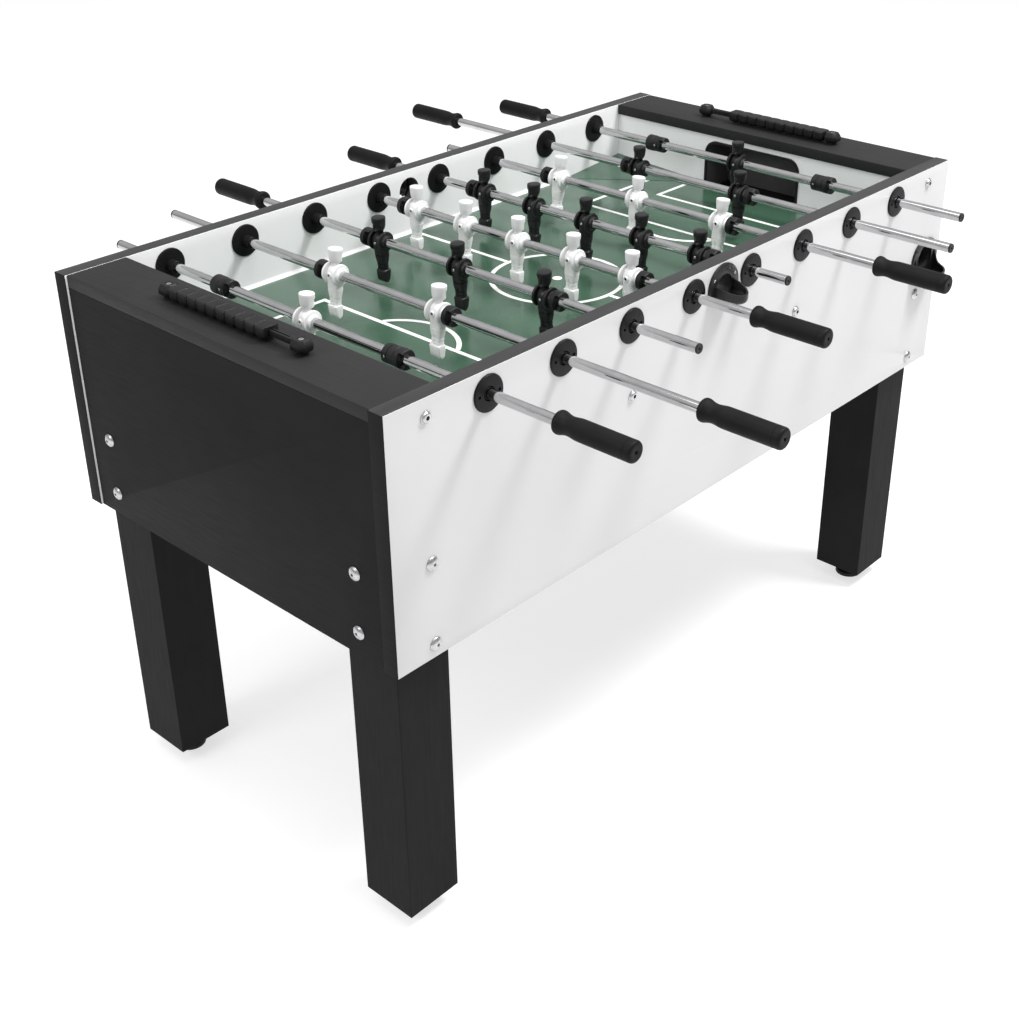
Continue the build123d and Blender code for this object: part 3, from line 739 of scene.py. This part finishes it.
def screw_head(bm, radius, height, place):
    """A button head with a soft edge."""
    outline = [(0, radius), (height * 0.6, radius), (height, radius * 0.78), (height, radius * 0.3)]
    turned(bm, fillet_path(outline, (0, height * 0.4, height * 0.3, 0)), place, segments=32)


def hex_socket(bm, width, depth, place):
    turned(bm, [(-depth, width), (0.02, width)], place, segments=6)


SCREW_Z = -1.0
MAN = man_mesh()
SCREW = combined(solid("screw", screw_head, 2.55, 1.6, ORIGIN),
                 cut(hex_socket, 1.3, 1.4, Matrix.Translation((0, 0, 1.7))))


HALF_MAN = 19.0


def men_places(n):
    """The y of each man on a rod, from the CAD men's box."""
    low, high = corners(f"rod_{n}_men")
    first = low.y + HALF_MAN
    last = high.y - HALF_MAN
    count = men_counts[n]
    return [first + (last - first) * (k / max(count - 1, 1)) for k in range(count)]


# How far each rod is turned, in degrees: heads towards +X are positive.
LEAN = dict(zip(ROD_NUMBERS, (4.3, 4.6, -3.3, 2.7, 0.0, 7.5, 0.0, 0.0)))


def add_men(n):
    white = n in WHITE_RODS
    x, z = rod_place[n].x, rod_place[n].z
    parts = []
    for y in men_places(n):
        place = Matrix.Translation((x, y, z)) @ Matrix.Rotation(math.radians(LEAN[n]), 4, "Y")
        if not white:
            place = place @ Matrix.Rotation(math.pi, 4, "Z")
        parts.append((MAN, place, WHITE_MEN if white else BLACK_MEN))
        parts.append((SCREW, place @ along_x(-11.6, 0, SCREW_Z, -1), SOCKET_DARK))
        parts.append((SCREW, place @ along_x(12.6, 0, SCREW_Z, 1), BOLT_STEEL))
    made = assemble(f"rod_{n}_players", parts)
    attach(made, f"rod_{n}_assembly")
    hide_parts(f"rod_{n}_men")


# ---------------------------------------------------------------- rods, handles and fittings
ROD_BORE = 5.9


def rod_tube(bm, length):
    outline = [(0, ROD_BORE), (0, rod_radius - 0.5), (0.5, rod_radius), (length - 0.5, rod_radius),
               (length, rod_radius - 0.5), (length, ROD_BORE)]
    turned(bm, outline, ORIGIN, loop=True)


def add_rod(n):
    low, high = corners(f"rod_{n}")
    tube = mesh_of(solid("tube", rod_tube, high.y - low.y))
    made = assemble(f"rod_{n}_tube", [(tube, along_y(rod_place[n].x, low.y, rod_place[n].z), CHROME)])
    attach(made, f"rod_{n}_assembly")
    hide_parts(f"rod_{n}")


HANDLE_LENGTH = 128.0
HANDLE_RADIUS = 15.3


def handle_grip(bm):
    """Flared mouth, neck, straight barrel with a fine groove, and a dished end with its hole."""
    end = HANDLE_LENGTH
    outline = [(16.0, rod_radius + 0.06), (0.0, rod_radius + 0.06), (0.0, 14.2), (2.4, 16.6),
               (7.0, 16.6), (13.0, 14.4), (20.0, 13.3), (27.0, 13.9), (34.0, 15.1),
               (40.0, HANDLE_RADIUS), (end - 12.6, HANDLE_RADIUS), (end - 12.4, HANDLE_RADIUS - 0.35),
               (end - 11.8, HANDLE_RADIUS - 0.35), (end - 11.6, HANDLE_RADIUS),
               (end - 2.6, HANDLE_RADIUS), (end, HANDLE_RADIUS - 3.2), (end - 0.3, 3.4),
               (end - 0.9, 2.2), (end - 9.0, 2.0), (end - 9.0, 0.6)]
    radii = (0, 0, 1.5, 2.2, 4, 4, 5, 5, 4, 4, 0, 0, 0, 0, 2.4, 2.4, 0.5, 0.4, 0, 0)
    rounded = fillet_path(outline, radii)
    turned(bm, rounded, ORIGIN)


HANDLE = mesh_of(solid("handle", handle_grip))


def add_handle(n):
    side = handle_side[n]
    low, high = corners(f"rod_{n}_handle")
    mouth = low.y if side > 0 else high.y
    place = along_y(rod_place[n].x, mouth, rod_place[n].z, side)
    made = assemble(f"rod_{n}_grip", [(HANDLE, place, GRIP)])
    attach(made, f"rod_{n}_assembly")
    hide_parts(f"rod_{n}_handle")


BUMPER_LENGTH = 17.0
BUMPER_RADIUS = 15.5
COLLAR_LENGTH = 23.5
COLLAR_RADIUS = 14.8
COLLAR_START = 175.0
COLLAR_GROOVE = 10.6
NOTCH = 8.0
NOTCH_HALF_ANGLE = 52
SCREW_AT = {-1: 5.4, 1: 17.6}


def bumper_ring(bm):
    """A rubber ring with a rounded edge, from 0 to its length along local Z."""
    r = BUMPER_RADIUS
    inner = rod_radius + 0.06
    outline = [(0, inner), (0, r - 1.2), (1.2, r), (BUMPER_LENGTH - 1.4, r), (BUMPER_LENGTH, r - 1.4),
               (BUMPER_LENGTH, inner), (0, inner)]
    turned(bm, fillet_path(outline, (0, 0.9, 0.9, 1.0, 1.0, 0, 0))[:-1], ORIGIN, loop=True)


def notch(bm, low, high):
    """A wedge that opens a ring towards -X, between two heights."""
    reach = 30
    spread = reach * math.tan(math.radians(NOTCH_HALF_ANGLE))
    add_rings(bm, [[Vector((0, 0, z)), Vector((-reach, spread, z)), Vector((-reach, -spread, z))]
                   for z in (low, high)])


def collar_ring(bm):
    """A clamp collar with a groove beside its clamping half."""
    groove = COLLAR_GROOVE
    r = COLLAR_RADIUS
    inner = rod_radius + 0.06
    outline = [(0, inner), (0, r - 1.0), (1.0, r), (groove - 0.4, r), (groove, r - 1.0),
               (groove + 0.8, r - 1.0), (groove + 1.2, r), (COLLAR_LENGTH - 0.6, r),
               (COLLAR_LENGTH, r - 0.6), (COLLAR_LENGTH, inner)]
    turned(bm, outline, ORIGIN, loop=True)


def collar(side):
    """A collar with its split just above the clamping screw, and a notch in the +Y collar's end."""
    up = -side * 4.6
    screw = SCREW_AT[side]
    steps = [cut(block, (-20, up - 0.5, screw - 5.2), (-6, up + 0.5, screw + 4.2)),
             cut(cylinder, 3.0, 12.4, 20.0, along_x(0, 0, screw, -1))]
    if side > 0:
        steps.append(cut(notch, -5, NOTCH))
    return combined(solid("collar", collar_ring), *steps)


PLAIN_BUMPER = mesh_of(solid("bumper", bumper_ring))
BUMPER = {
    -1: combined(solid("bumper", bumper_ring),
                 cut(notch, BUMPER_LENGTH - NOTCH, BUMPER_LENGTH + 5)),
    1: combined(solid("bumper", bumper_ring), cut(notch, -5, NOTCH)),
}
COLLAR = {side: collar(side) for side in (-1, 1)}


def cap_plug(bm):
    outline = [(0, 1.6), (0.5, 2.2), (0.5, rod_radius - 2.4), (0, rod_radius - 1.6), (0, rod_radius - 0.7),
               (0.7, rod_radius - 0.05), (2.9, rod_radius - 0.05), (2.9, ROD_BORE - 0.06),
               (14.0, ROD_BORE - 0.06), (14.0, 1.6)]
    turned(bm, outline, ORIGIN, loop=True)


CAP = mesh_of(solid("cap", cap_plug))


def add_fittings(n):
    x, z = rod_place[n].x, rod_place[n].z
    places = men_places(n)
    parts = []
    for side, man_y in ((-1, places[0]), (1, places[-1])):
        start = man_y + side * HALF_MAN
        if men_counts[n] == 1:
            start = man_y + side * COLLAR_START
            place = along_y(x, start, z, side)
            parts.append((COLLAR[side], place, RUBBER))
            parts.append((SCREW, place @ along_x(-12.6, 0, SCREW_AT[side], -1), BOLT_STEEL))
            start += side * (COLLAR_LENGTH + 0.05)
        plain = men_counts[n] == 1 and side > 0
        parts.append((PLAIN_BUMPER if plain else BUMPER[side], along_y(x, start, z, side), RUBBER))
    low, high = corners(f"rod_{n}_fittings")
    bare = low.y if handle_side[n] > 0 else high.y
    parts.append((CAP, along_y(x, bare, z, handle_side[n]), RUBBER))
    made = assemble(f"rod_{n}_bumpers_and_cap", parts)
    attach(made, f"rod_{n}_assembly")
    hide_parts(f"rod_{n}_fittings")


# ---------------------------------------------------------------- bearings
SLEEVE_RADIUS = 11.0
SLEEVE_STEP = 364.0
SLEEVE_COLLAR_RADIUS = 13.0
SLEEVE_COLLAR_END = inner_y + 16.9
FLANGE_RADIUS = 27.5
BARREL_RADIUS = 15.4
SCREW_STEP = 19.0
NOSE_IN = 320.0
NOSE_IN_RADIUS = 10.0
NOSE_OUT_RADIUS = 9.0
DISC_HOLE = 10.4
NOSE_OUT = corners("rod_1_sleeves")[1].y


def sleeve_nose(bm):
    """The turning sleeve, from the inner nose over its collar to the thinner outer nose."""
    low, high = NOSE_IN, NOSE_OUT
    inner = rod_radius + 0.05
    inside = inner_y - 3.5
    outline = [(low, inner), (low, NOSE_IN_RADIUS - 0.7), (low + 0.7, NOSE_IN_RADIUS),
               (inside, NOSE_IN_RADIUS), (inside, SLEEVE_RADIUS), (inner_y + 0.3, SLEEVE_RADIUS),
               (inner_y + 0.3, SLEEVE_COLLAR_RADIUS), (SLEEVE_COLLAR_END, SLEEVE_COLLAR_RADIUS),
               (SLEEVE_COLLAR_END, SLEEVE_RADIUS), (SLEEVE_STEP, SLEEVE_RADIUS),
               (SLEEVE_STEP, NOSE_OUT_RADIUS), (high - 0.5, NOSE_OUT_RADIUS),
               (high, NOSE_OUT_RADIUS - 0.5), (high, inner)]
    turned(bm, outline, ORIGIN, loop=True)


def outer_flange(bm):
    """The outside flange with its barrel and a gently domed face."""
    face = outer_y + 3.5
    inner = SLEEVE_RADIUS + 0.06
    pocket = SLEEVE_COLLAR_RADIUS + 0.12
    outline = [(outer_y - 1, inner), (outer_y - 1, DISC_HOLE), (face - 0.6, DISC_HOLE),
               (face, DISC_HOLE + 0.7), (face, 13.0), (face - 0.1, 24.0), (face - 0.5, 26.4),
               (face - 1.6, FLANGE_RADIUS), (outer_y, FLANGE_RADIUS), (outer_y, BARREL_RADIUS),
               (inner_y + 0.25, BARREL_RADIUS), (inner_y + 0.25, pocket), (inner_y + 17.2, pocket),
               (inner_y + 17.2, inner)]
    turned(bm, outline, ORIGIN, loop=True)


def inner_flange(bm):
    face = inner_y - 3.5
    inner = SLEEVE_RADIUS + 0.06
    outline = [(face, inner), (face + 0.2, 24.5), (face + 0.6, 26.6), (face + 1.7, FLANGE_RADIUS),
               (inner_y, FLANGE_RADIUS), (inner_y, inner)]
    turned(bm, outline, ORIGIN, loop=True)


SLEEVE = mesh_of(solid("sleeve", sleeve_nose))
screw_cuts = [cut(cylinder, 2.5, outer_y + 0.8, outer_y + 9,
                                   Matrix.Translation((step, 0, 0))) for step in (-SCREW_STEP, SCREW_STEP)]
OUTER_FLANGE = combined(solid("flange", outer_flange), *screw_cuts)
INNER_FLANGE = mesh_of(solid("inside", inner_flange))


def add_bearings():
    parts = []
    for n in ROD_NUMBERS:
        for side in (-1, 1):
            place = along_y(rod_place[n].x, 0, rod_place[n].z, side)
            parts.append((OUTER_FLANGE, place, NYLON))
            parts.append((INNER_FLANGE, place, NYLON))
    made = assemble("bearings", parts)
    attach(made, "cabinet")
    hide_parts("bearing_housings")


def add_sleeves(n):
    parts = []
    for side in (-1, 1):
        parts.append((SLEEVE, along_y(rod_place[n].x, 0, rod_place[n].z, side), NYLON))
    made = assemble(f"rod_{n}_bearing_sleeves", parts)
    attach(made, f"rod_{n}_bearing")
    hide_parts(f"rod_{n}_sleeves")


# ---------------------------------------------------------------- bolts and feet
def dome_head(bm):
    """A low dome on a thin rim."""
    outline = [(0, 11.0), (0.8, 11.0), (2.6, 9.9), (4.4, 7.0), (5.3, 3.6), (5.5, 1.0)]
    turned(bm, fillet_path(outline, (0, 0.4, 3, 3, 2, 0)), ORIGIN)


def socket_head(bm):
    """A washer-faced head with a rounded top."""
    outline = [(0, 9.0), (1.2, 9.0), (1.5, 7.9), (3.8, 7.3), (4.8, 6.0), (5.0, 1.0)]
    turned(bm, fillet_path(outline, (0, 0.4, 0.3, 1.2, 0.9, 0)), ORIGIN)


def bolt_shank(bm):
    turned(bm, [(-46, 3.9), (0.3, 3.9)], ORIGIN, segments=24)


DOME = combined(solid("dome", dome_head), join(bolt_shank),
                cut(hex_socket, 2.6, 4.0, Matrix.Translation((0, 0, 6.0))))
SOCKET = combined(solid("head", socket_head),
                  cut(hex_socket, 3.4, 4.2, Matrix.Translation((0, 0, 5.5))))
# A dark hex disc at the bottom of each socket head's recess: a painted shadow in the socket.
SOCKET_PAINTED_SHADOW = mesh_of(solid("socket_painted_shadow", hex_socket, 3.3, 0.5, Matrix.Translation((0, 0, 1.6))))


def add_bolts():
    parts = []
    for end in (-1, 1):
        for side in (-1, 1):
            for z in LEG_BOLT_Z:
                parts.append((DOME, along_y(end * LEG_BOLT_X, side * outer_y, z, side), BOLT_STEEL))
            for z in END_BOLT_Z:
                parts.append((DOME, along_x(end * end_high.x, side * END_BOLT_Y, z, end), BOLT_STEEL))
    made = assemble("leg_bolt_heads", parts)
    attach(made, "cabinet")
    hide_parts("leg_bolts")
    parts = []
    for end in (-1, 1):
        for side in (-1, 1):
            for x, z in (CORNER_BOLT, BEAM_BOLT):
                place = along_y(end * x, side * outer_y, z, side)
                parts.append((SOCKET, place, BOLT_STEEL))
                parts.append((SOCKET_PAINTED_SHADOW, place, SOCKET_DARK))
    made = assemble("cabinet_bolt_heads", parts)
    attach(made, "cabinet")
    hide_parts("cabinet_bolts")


def foot_disc(bm):
    outline = [(0, 26.0), (1.0, 26.4), (6.5, 25.6), (8.4, 23.6), (9.2, 16.0), (11.0, 12.0), (14.0, 8.2),
               (24.4, 8.0), (24.6, 13.8), (30.4, 13.8), (30.5, 8.0), (46.0, 8.0)]
    turned(bm, fillet_path(outline, (0, 0.6, 1.5, 1.5, 2, 2, 2, 0, 0.4, 0.4, 0, 0)), ORIGIN)


LEG_SIZE = 99.3
FOOT_DISC = mesh_of(solid("foot", foot_disc))
leg_low, leg_high = corners("legs")
leg_half = LEG_SIZE / 2


def add_feet():
    parts = []
    for x in (leg_low.x + leg_half, leg_high.x - leg_half):
        for y in (leg_low.y + leg_half, leg_high.y - leg_half):
            parts.append((FOOT_DISC, Matrix.Translation((x, y, 0)), FOOT))
    made = assemble("feet", parts)
    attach(made, "cabinet")
    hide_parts("levelers")


# ---------------------------------------------------------------- ball cups
def cup_plate(bm, half, bottom, top, corner):
    """A flat plate with an arched top, standing from Y 0 to 4."""
    outline = [(-half, bottom), (half, bottom)]
    for middle, start in ((half - corner, 0), (corner - half, 90)):
        for step in range(15):
            angle = math.radians(start + 90 * step / 14)
            outline.append((middle + corner * math.cos(angle), top - corner + corner * math.sin(angle)))
    rings = []
    middle = (bottom + top) / 2
    for y, inset in ((0.0, 0.0), (3.2, 0.0), (3.8, 0.3), (4.0, 1.0)):
        k = 1 - inset / half
        rings.append([Vector((x * k, y, middle + (z - middle) * k)) for x, z in outline])
    add_rings(bm, rings)


def half_bowl(bm, half_x, reach, levels):
    """Half an oval standing out along Y from the plate, from (height, inset) levels."""
    rings = []
    for z, inset in levels:
        ring = []
        for step in range(33):
            angle = math.pi * step / 32
            away = 3.0 + (reach + 1 - inset) * math.sin(angle)
            ring.append(Vector(((half_x - inset) * math.cos(angle), away, z)))
        rings.append(ring)
    add_rings(bm, rings)


def rim_cut(bm, rim, top):
    """Everything above a rim given as (distance from the plate, height) points."""
    outline = [(-2.0, rim[0][1])] + [(4.0 + away, z) for away, z in rim]
    outline.append((rim[-1][0] + 13.0, rim[-1][1]))
    outline += [(outline[-1][0], top), (-2.0, top)]
    add_rings(bm, [[Vector((x, y, z)) for y, z in outline] for x in (-60, 60)])


def cup_mesh(plate, hole, bowl, rim):
    """One cup in millimetres: plate, hole and bowl, with the panel's face at Y 0."""
    half_x, reach, floor = bowl
    top = rim[0][1]
    outer = ((floor, 7.0), (floor + 0.6, 4.4), (floor + 2.2, 2.0), (floor + 5.0, 0.5), (floor + 8.0, 0.0),
             (top + 1, 0.0))
    inner = ((floor + 3.0, 9.0), (floor + 3.8, 6.6), (floor + 5.4, 4.6), (floor + 8.6, 3.2),
             (floor + 11.0, 3.0), (top + 3, 3.0))
    bowl_mesh = combined(solid("outside", half_bowl, half_x, reach, outer), cut(rim_cut, rim, top + 20))
    return combined(
        solid("plate", cup_plate, *plate),
        ("UNION", put("bowl", bowl_mesh)),
        cut(half_bowl, half_x, reach, inner),
        cut(cylinder, hole[1], -5, 9, along_y(0, 0, hole[0])),
    )


SERVING_CUP = cup_mesh((38.0, 845.0, 902.8, 37.9), (864.8, 21.0), (26.0, 42.0, 846.0),
                       ((0.0, 871.0), (6.0, 870.0), (15.0, 868.0), (28.0, 864.6), (42.0, 861.0)))
RETURN_CUP = cup_mesh((45.0, 686.0, 764.0, 38.0), (730.0, 24.5), (37.0, 40.0, 689.0),
                      ((0.0, 734.0), (3.0, 724.0), (6.0, 716.5), (10.0, 711.5), (18.0, 709.0),
                       (40.0, 707.0)))


def add_cups():
    parts = []
    for side in (-1, 1):
        for mesh, x, screws, steel_kind in (
            (SERVING_CUP, 0.0, ((-26.5, 881.0), (26.5, 881.0)), BOLT_STEEL),
            (RETURN_CUP, -side * RETURN[0], ((-34.0, 748.0), (34.0, 748.0)), SOCKET_DARK),
        ):
            place = Matrix.Translation((x, side * outer_y, 0))
            if side < 0:
                place = place @ Matrix.Rotation(math.pi, 4, "Z")
            parts.append((mesh, place, CUP))
            for step, z in screws:
                parts.append((SCREW, place @ along_y(step, 3.6, z), steel_kind))
    made = assemble("ball_cup_shells", parts)
    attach(made, "cabinet")
    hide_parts("ball_cups")


# ---------------------------------------------------------------- scorers
BEAD_PITCH = 22.0
BEAD_COUNT = 10
RAIL_SLOT = ((-4.8, -1, 8.6), (4.8, 30, 18.2))


def rounded_box(y, half_x, low, high, top_corner, low_corner):
    """A ring in an XZ plane: a box with one radius on its top corners and one on its low corners."""
    ring = []
    for side, corner, start in ((1, top_corner, 0), (-1, top_corner, 90), (-1, low_corner, 180),
                                (1, low_corner, 270)):
        cx = side * (half_x - corner)
        cz = high - corner if start < 180 else low + corner
        for step in range(6):
            angle = math.radians(start + 90 * step / 5)
            ring.append(Vector((cx + corner * math.cos(angle), y, cz + corner * math.sin(angle))))
    return ring


def bead(bm):
    """One counter: a flat top over rounded flanks that swell at the middle, along Y."""
    long = BEAD_PITCH - 0.5
    rings = []
    for t, shrink in ((0.0, 3.0), (0.02, 2.3), (0.08, 1.5), (0.2, 0.7), (0.35, 0.2), (0.5, 0.0),
                      (0.65, 0.2), (0.8, 0.7), (0.92, 1.5), (0.98, 2.3), (1.0, 3.0)):
        top = 22.4 - (0.5 if t in (0.0, 1.0) else 0.0)
        rings.append(rounded_box(t * long, 14.9 - shrink, 2.4 + shrink, top, 3.0, 8.0 - shrink * 0.4))
    add_rings(bm, rings)


BEAD = combined(solid("bead", bead), cut(block, *RAIL_SLOT))


def octagon(z, half_x, half_y, corner):
    """A level ring: a rectangle with its corners cut."""
    x, y = half_x - corner, half_y - corner
    return [Vector((*point, z)) for point in (
        (half_x, y), (x, half_y), (-x, half_y), (-half_x, y),
        (-half_x, -y), (-x, -half_y), (x, -half_y), (half_x, -y))]


def scorer_post(bm):
    """An end post: a faceted barrel that is widest at half its height."""
    add_rings(bm, [octagon(*ring) for ring in (
        (4.4, 9.4, 10.4, 4.4), (7.2, 12.6, 13.8, 5.6), (8.6, 13.4, 14.6, 6.0), (14.6, 13.4, 14.6, 6.0),
        (16.4, 12.9, 14.0, 5.8), (21.6, 10.2, 11.2, 4.8), (22.5, 9.4, 10.4, 4.4))])


def scorer_rail(bm, half_length):
    add_rings(bm, [rounded_box(-half_length, 4.5, 8.9, 17.9, 0.8, 0.8),
                   rounded_box(half_length, 4.5, 8.9, 17.9, 0.8, 0.8)])


POST = combined(solid("post", scorer_post),
                join(cylinder, 9.0, 0.0, 5.0, ORIGIN),
                cut(cylinder, 5.0, 21.0, 30.0, ORIGIN))
post_span = corners("scorer_frames")[1].y - 14.7
RAIL = combined(solid("rail", scorer_rail, post_span - 6),
                cut(block, (-1.1, -125, 16.2), (1.1, 125, 19.0)))


def add_scorers():
    x = centre("left_scorer_beads").x
    parts = []
    for end in (-1, 1):
        rail = Matrix.Translation((end * abs(x), 0, top_z))
        parts.append((RAIL, rail, SCORER))
        for side in (-1, 1):
            post = Matrix.Translation((end * abs(x), side * post_span, top_z))
            parts.append((POST, post, SCORER))
            parts.append((POST_SCREW, post @ Matrix.Translation((0, 0, 21.0)), BOLT_STEEL))
    made = assemble("scorer_rails_and_posts", parts)
    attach(made, "cabinet")
    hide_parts("scorer_frames")
    for name in ("left", "right"):
        node = f"{name}_scorer_beads"
        low = corners(node)[0]
        parts = [(BEAD, Matrix.Translation((centre(node).x, low.y + k * BEAD_PITCH, top_z)), SCORER)
                 for k in range(BEAD_COUNT)]
        made = assemble(f"{name}_counters", parts)
        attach(made, f"{name}_beads")
        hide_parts(node)


POST_SCREW = combined(solid("post_screw", screw_head, 4.4, 1.2, ORIGIN),
                      cut(hex_socket, 2.0, 1.0, Matrix.Translation((0, 0, 1.3))))

# ---------------------------------------------------------------- build everything
add_side_panel("front_side_panel", -1, FRONT_BOARD_PAINTED_SHADE)
add_side_panel("back_side_panel", 1, BACK_BOARD)
add_end_boards()
for n in ROD_NUMBERS:
    add_men(n)
    add_rod(n)
    add_handle(n)
    add_fittings(n)
    add_sleeves(n)
add_bearings()
add_bolts()
add_feet()
add_cups()
add_scorers()

# ---------------------------------------------------------------- floor, light and camera
FLOOR_SIZE = 60.0
floor_mesh = bpy.data.meshes.new("floor")
floor_corners = [(x * FLOOR_SIZE, y * FLOOR_SIZE, 0) for x, y in ((-1, -1), (1, -1), (1, 1), (-1, 1))]
floor_mesh.from_pydata(floor_corners, [], [(0, 1, 2, 3)])
floor = put("floor", floor_mesh)
paper = Surface("floor_paper", 0.9, specular=0.0)
paper.colour(paper.ramp(paper.noise(0.8), (0.50, 0.50, 0.50), (0.51, 0.51, 0.51)))
paper.shader.inputs["Emission Color"].default_value = (1, 1, 1, 1)
paper.shader.inputs["Emission Strength"].default_value = 0.64
floor_mesh.materials.append(paper.material)


def soft_box(name, place, target, size, power):
    light = bpy.data.lights.new(name, "AREA")
    light.shape = "RECTANGLE"
    light.size, light.size_y = size
    light.energy = power
    made = put(name, light)
    made.location = place
    made.rotation_euler = (Vector(target) - Vector(place)).to_track_quat("-Z", "Y").to_euler()


def studio_world():
    """A pale room that is bright overhead and dimmer towards the horizon."""
    world = bpy.data.worlds.new("studio")
    bpy.context.scene.world = world
    world.use_nodes = True
    tree = world.node_tree
    parts = tree.nodes.new("ShaderNodeSeparateXYZ")
    tree.links.new(tree.nodes.new("ShaderNodeTexCoord").outputs["Generated"], parts.inputs["Vector"])
    sky = tree.nodes.new("ShaderNodeValToRGB")
    sky.color_ramp.elements[0].position = 0.0
    sky.color_ramp.elements[1].position = 0.8
    sky.color_ramp.elements[0].color = (0.30, 0.30, 0.30, 1)
    sky.color_ramp.elements[1].color = (0.72, 0.72, 0.72, 1)
    tree.links.new(parts.outputs["Z"], sky.inputs["Fac"])
    tree.links.new(sky.outputs["Color"], tree.nodes["Background"].inputs["Color"])


studio_world()
soft_box("key", (1.4, -1.6, 3.6), (0, 0, 0.8), (0.8, 0.8), 100)
soft_box("overhead", (-0.4, -0.4, 3.8), (0, 0, 0.8), (3.0, 2.4), 70)
soft_box("left", (-3.4, 0.6, 3.0), (0, 0, 0.8), (1.2, 1.2), 40)

CAMERA_PLACE = (-1.7787, -1.6045, 1.7241)
CAMERA_AIM = (0.6611, 0.5896, -0.4639)
camera_data = bpy.data.cameras.new("camera")
camera_data.lens = 52.29
camera_data.sensor_width = 36.0
camera_data.shift_x = -0.0449
camera_data.shift_y = -0.0701
camera_data.clip_end = 200
camera = put("camera", camera_data)
camera.location = CAMERA_PLACE
camera.rotation_euler = Vector(CAMERA_AIM).to_track_quat("-Z", "Y").to_euler()
bpy.context.scene.camera = camera
bpy.context.scene.view_settings.view_transform = "Standard"
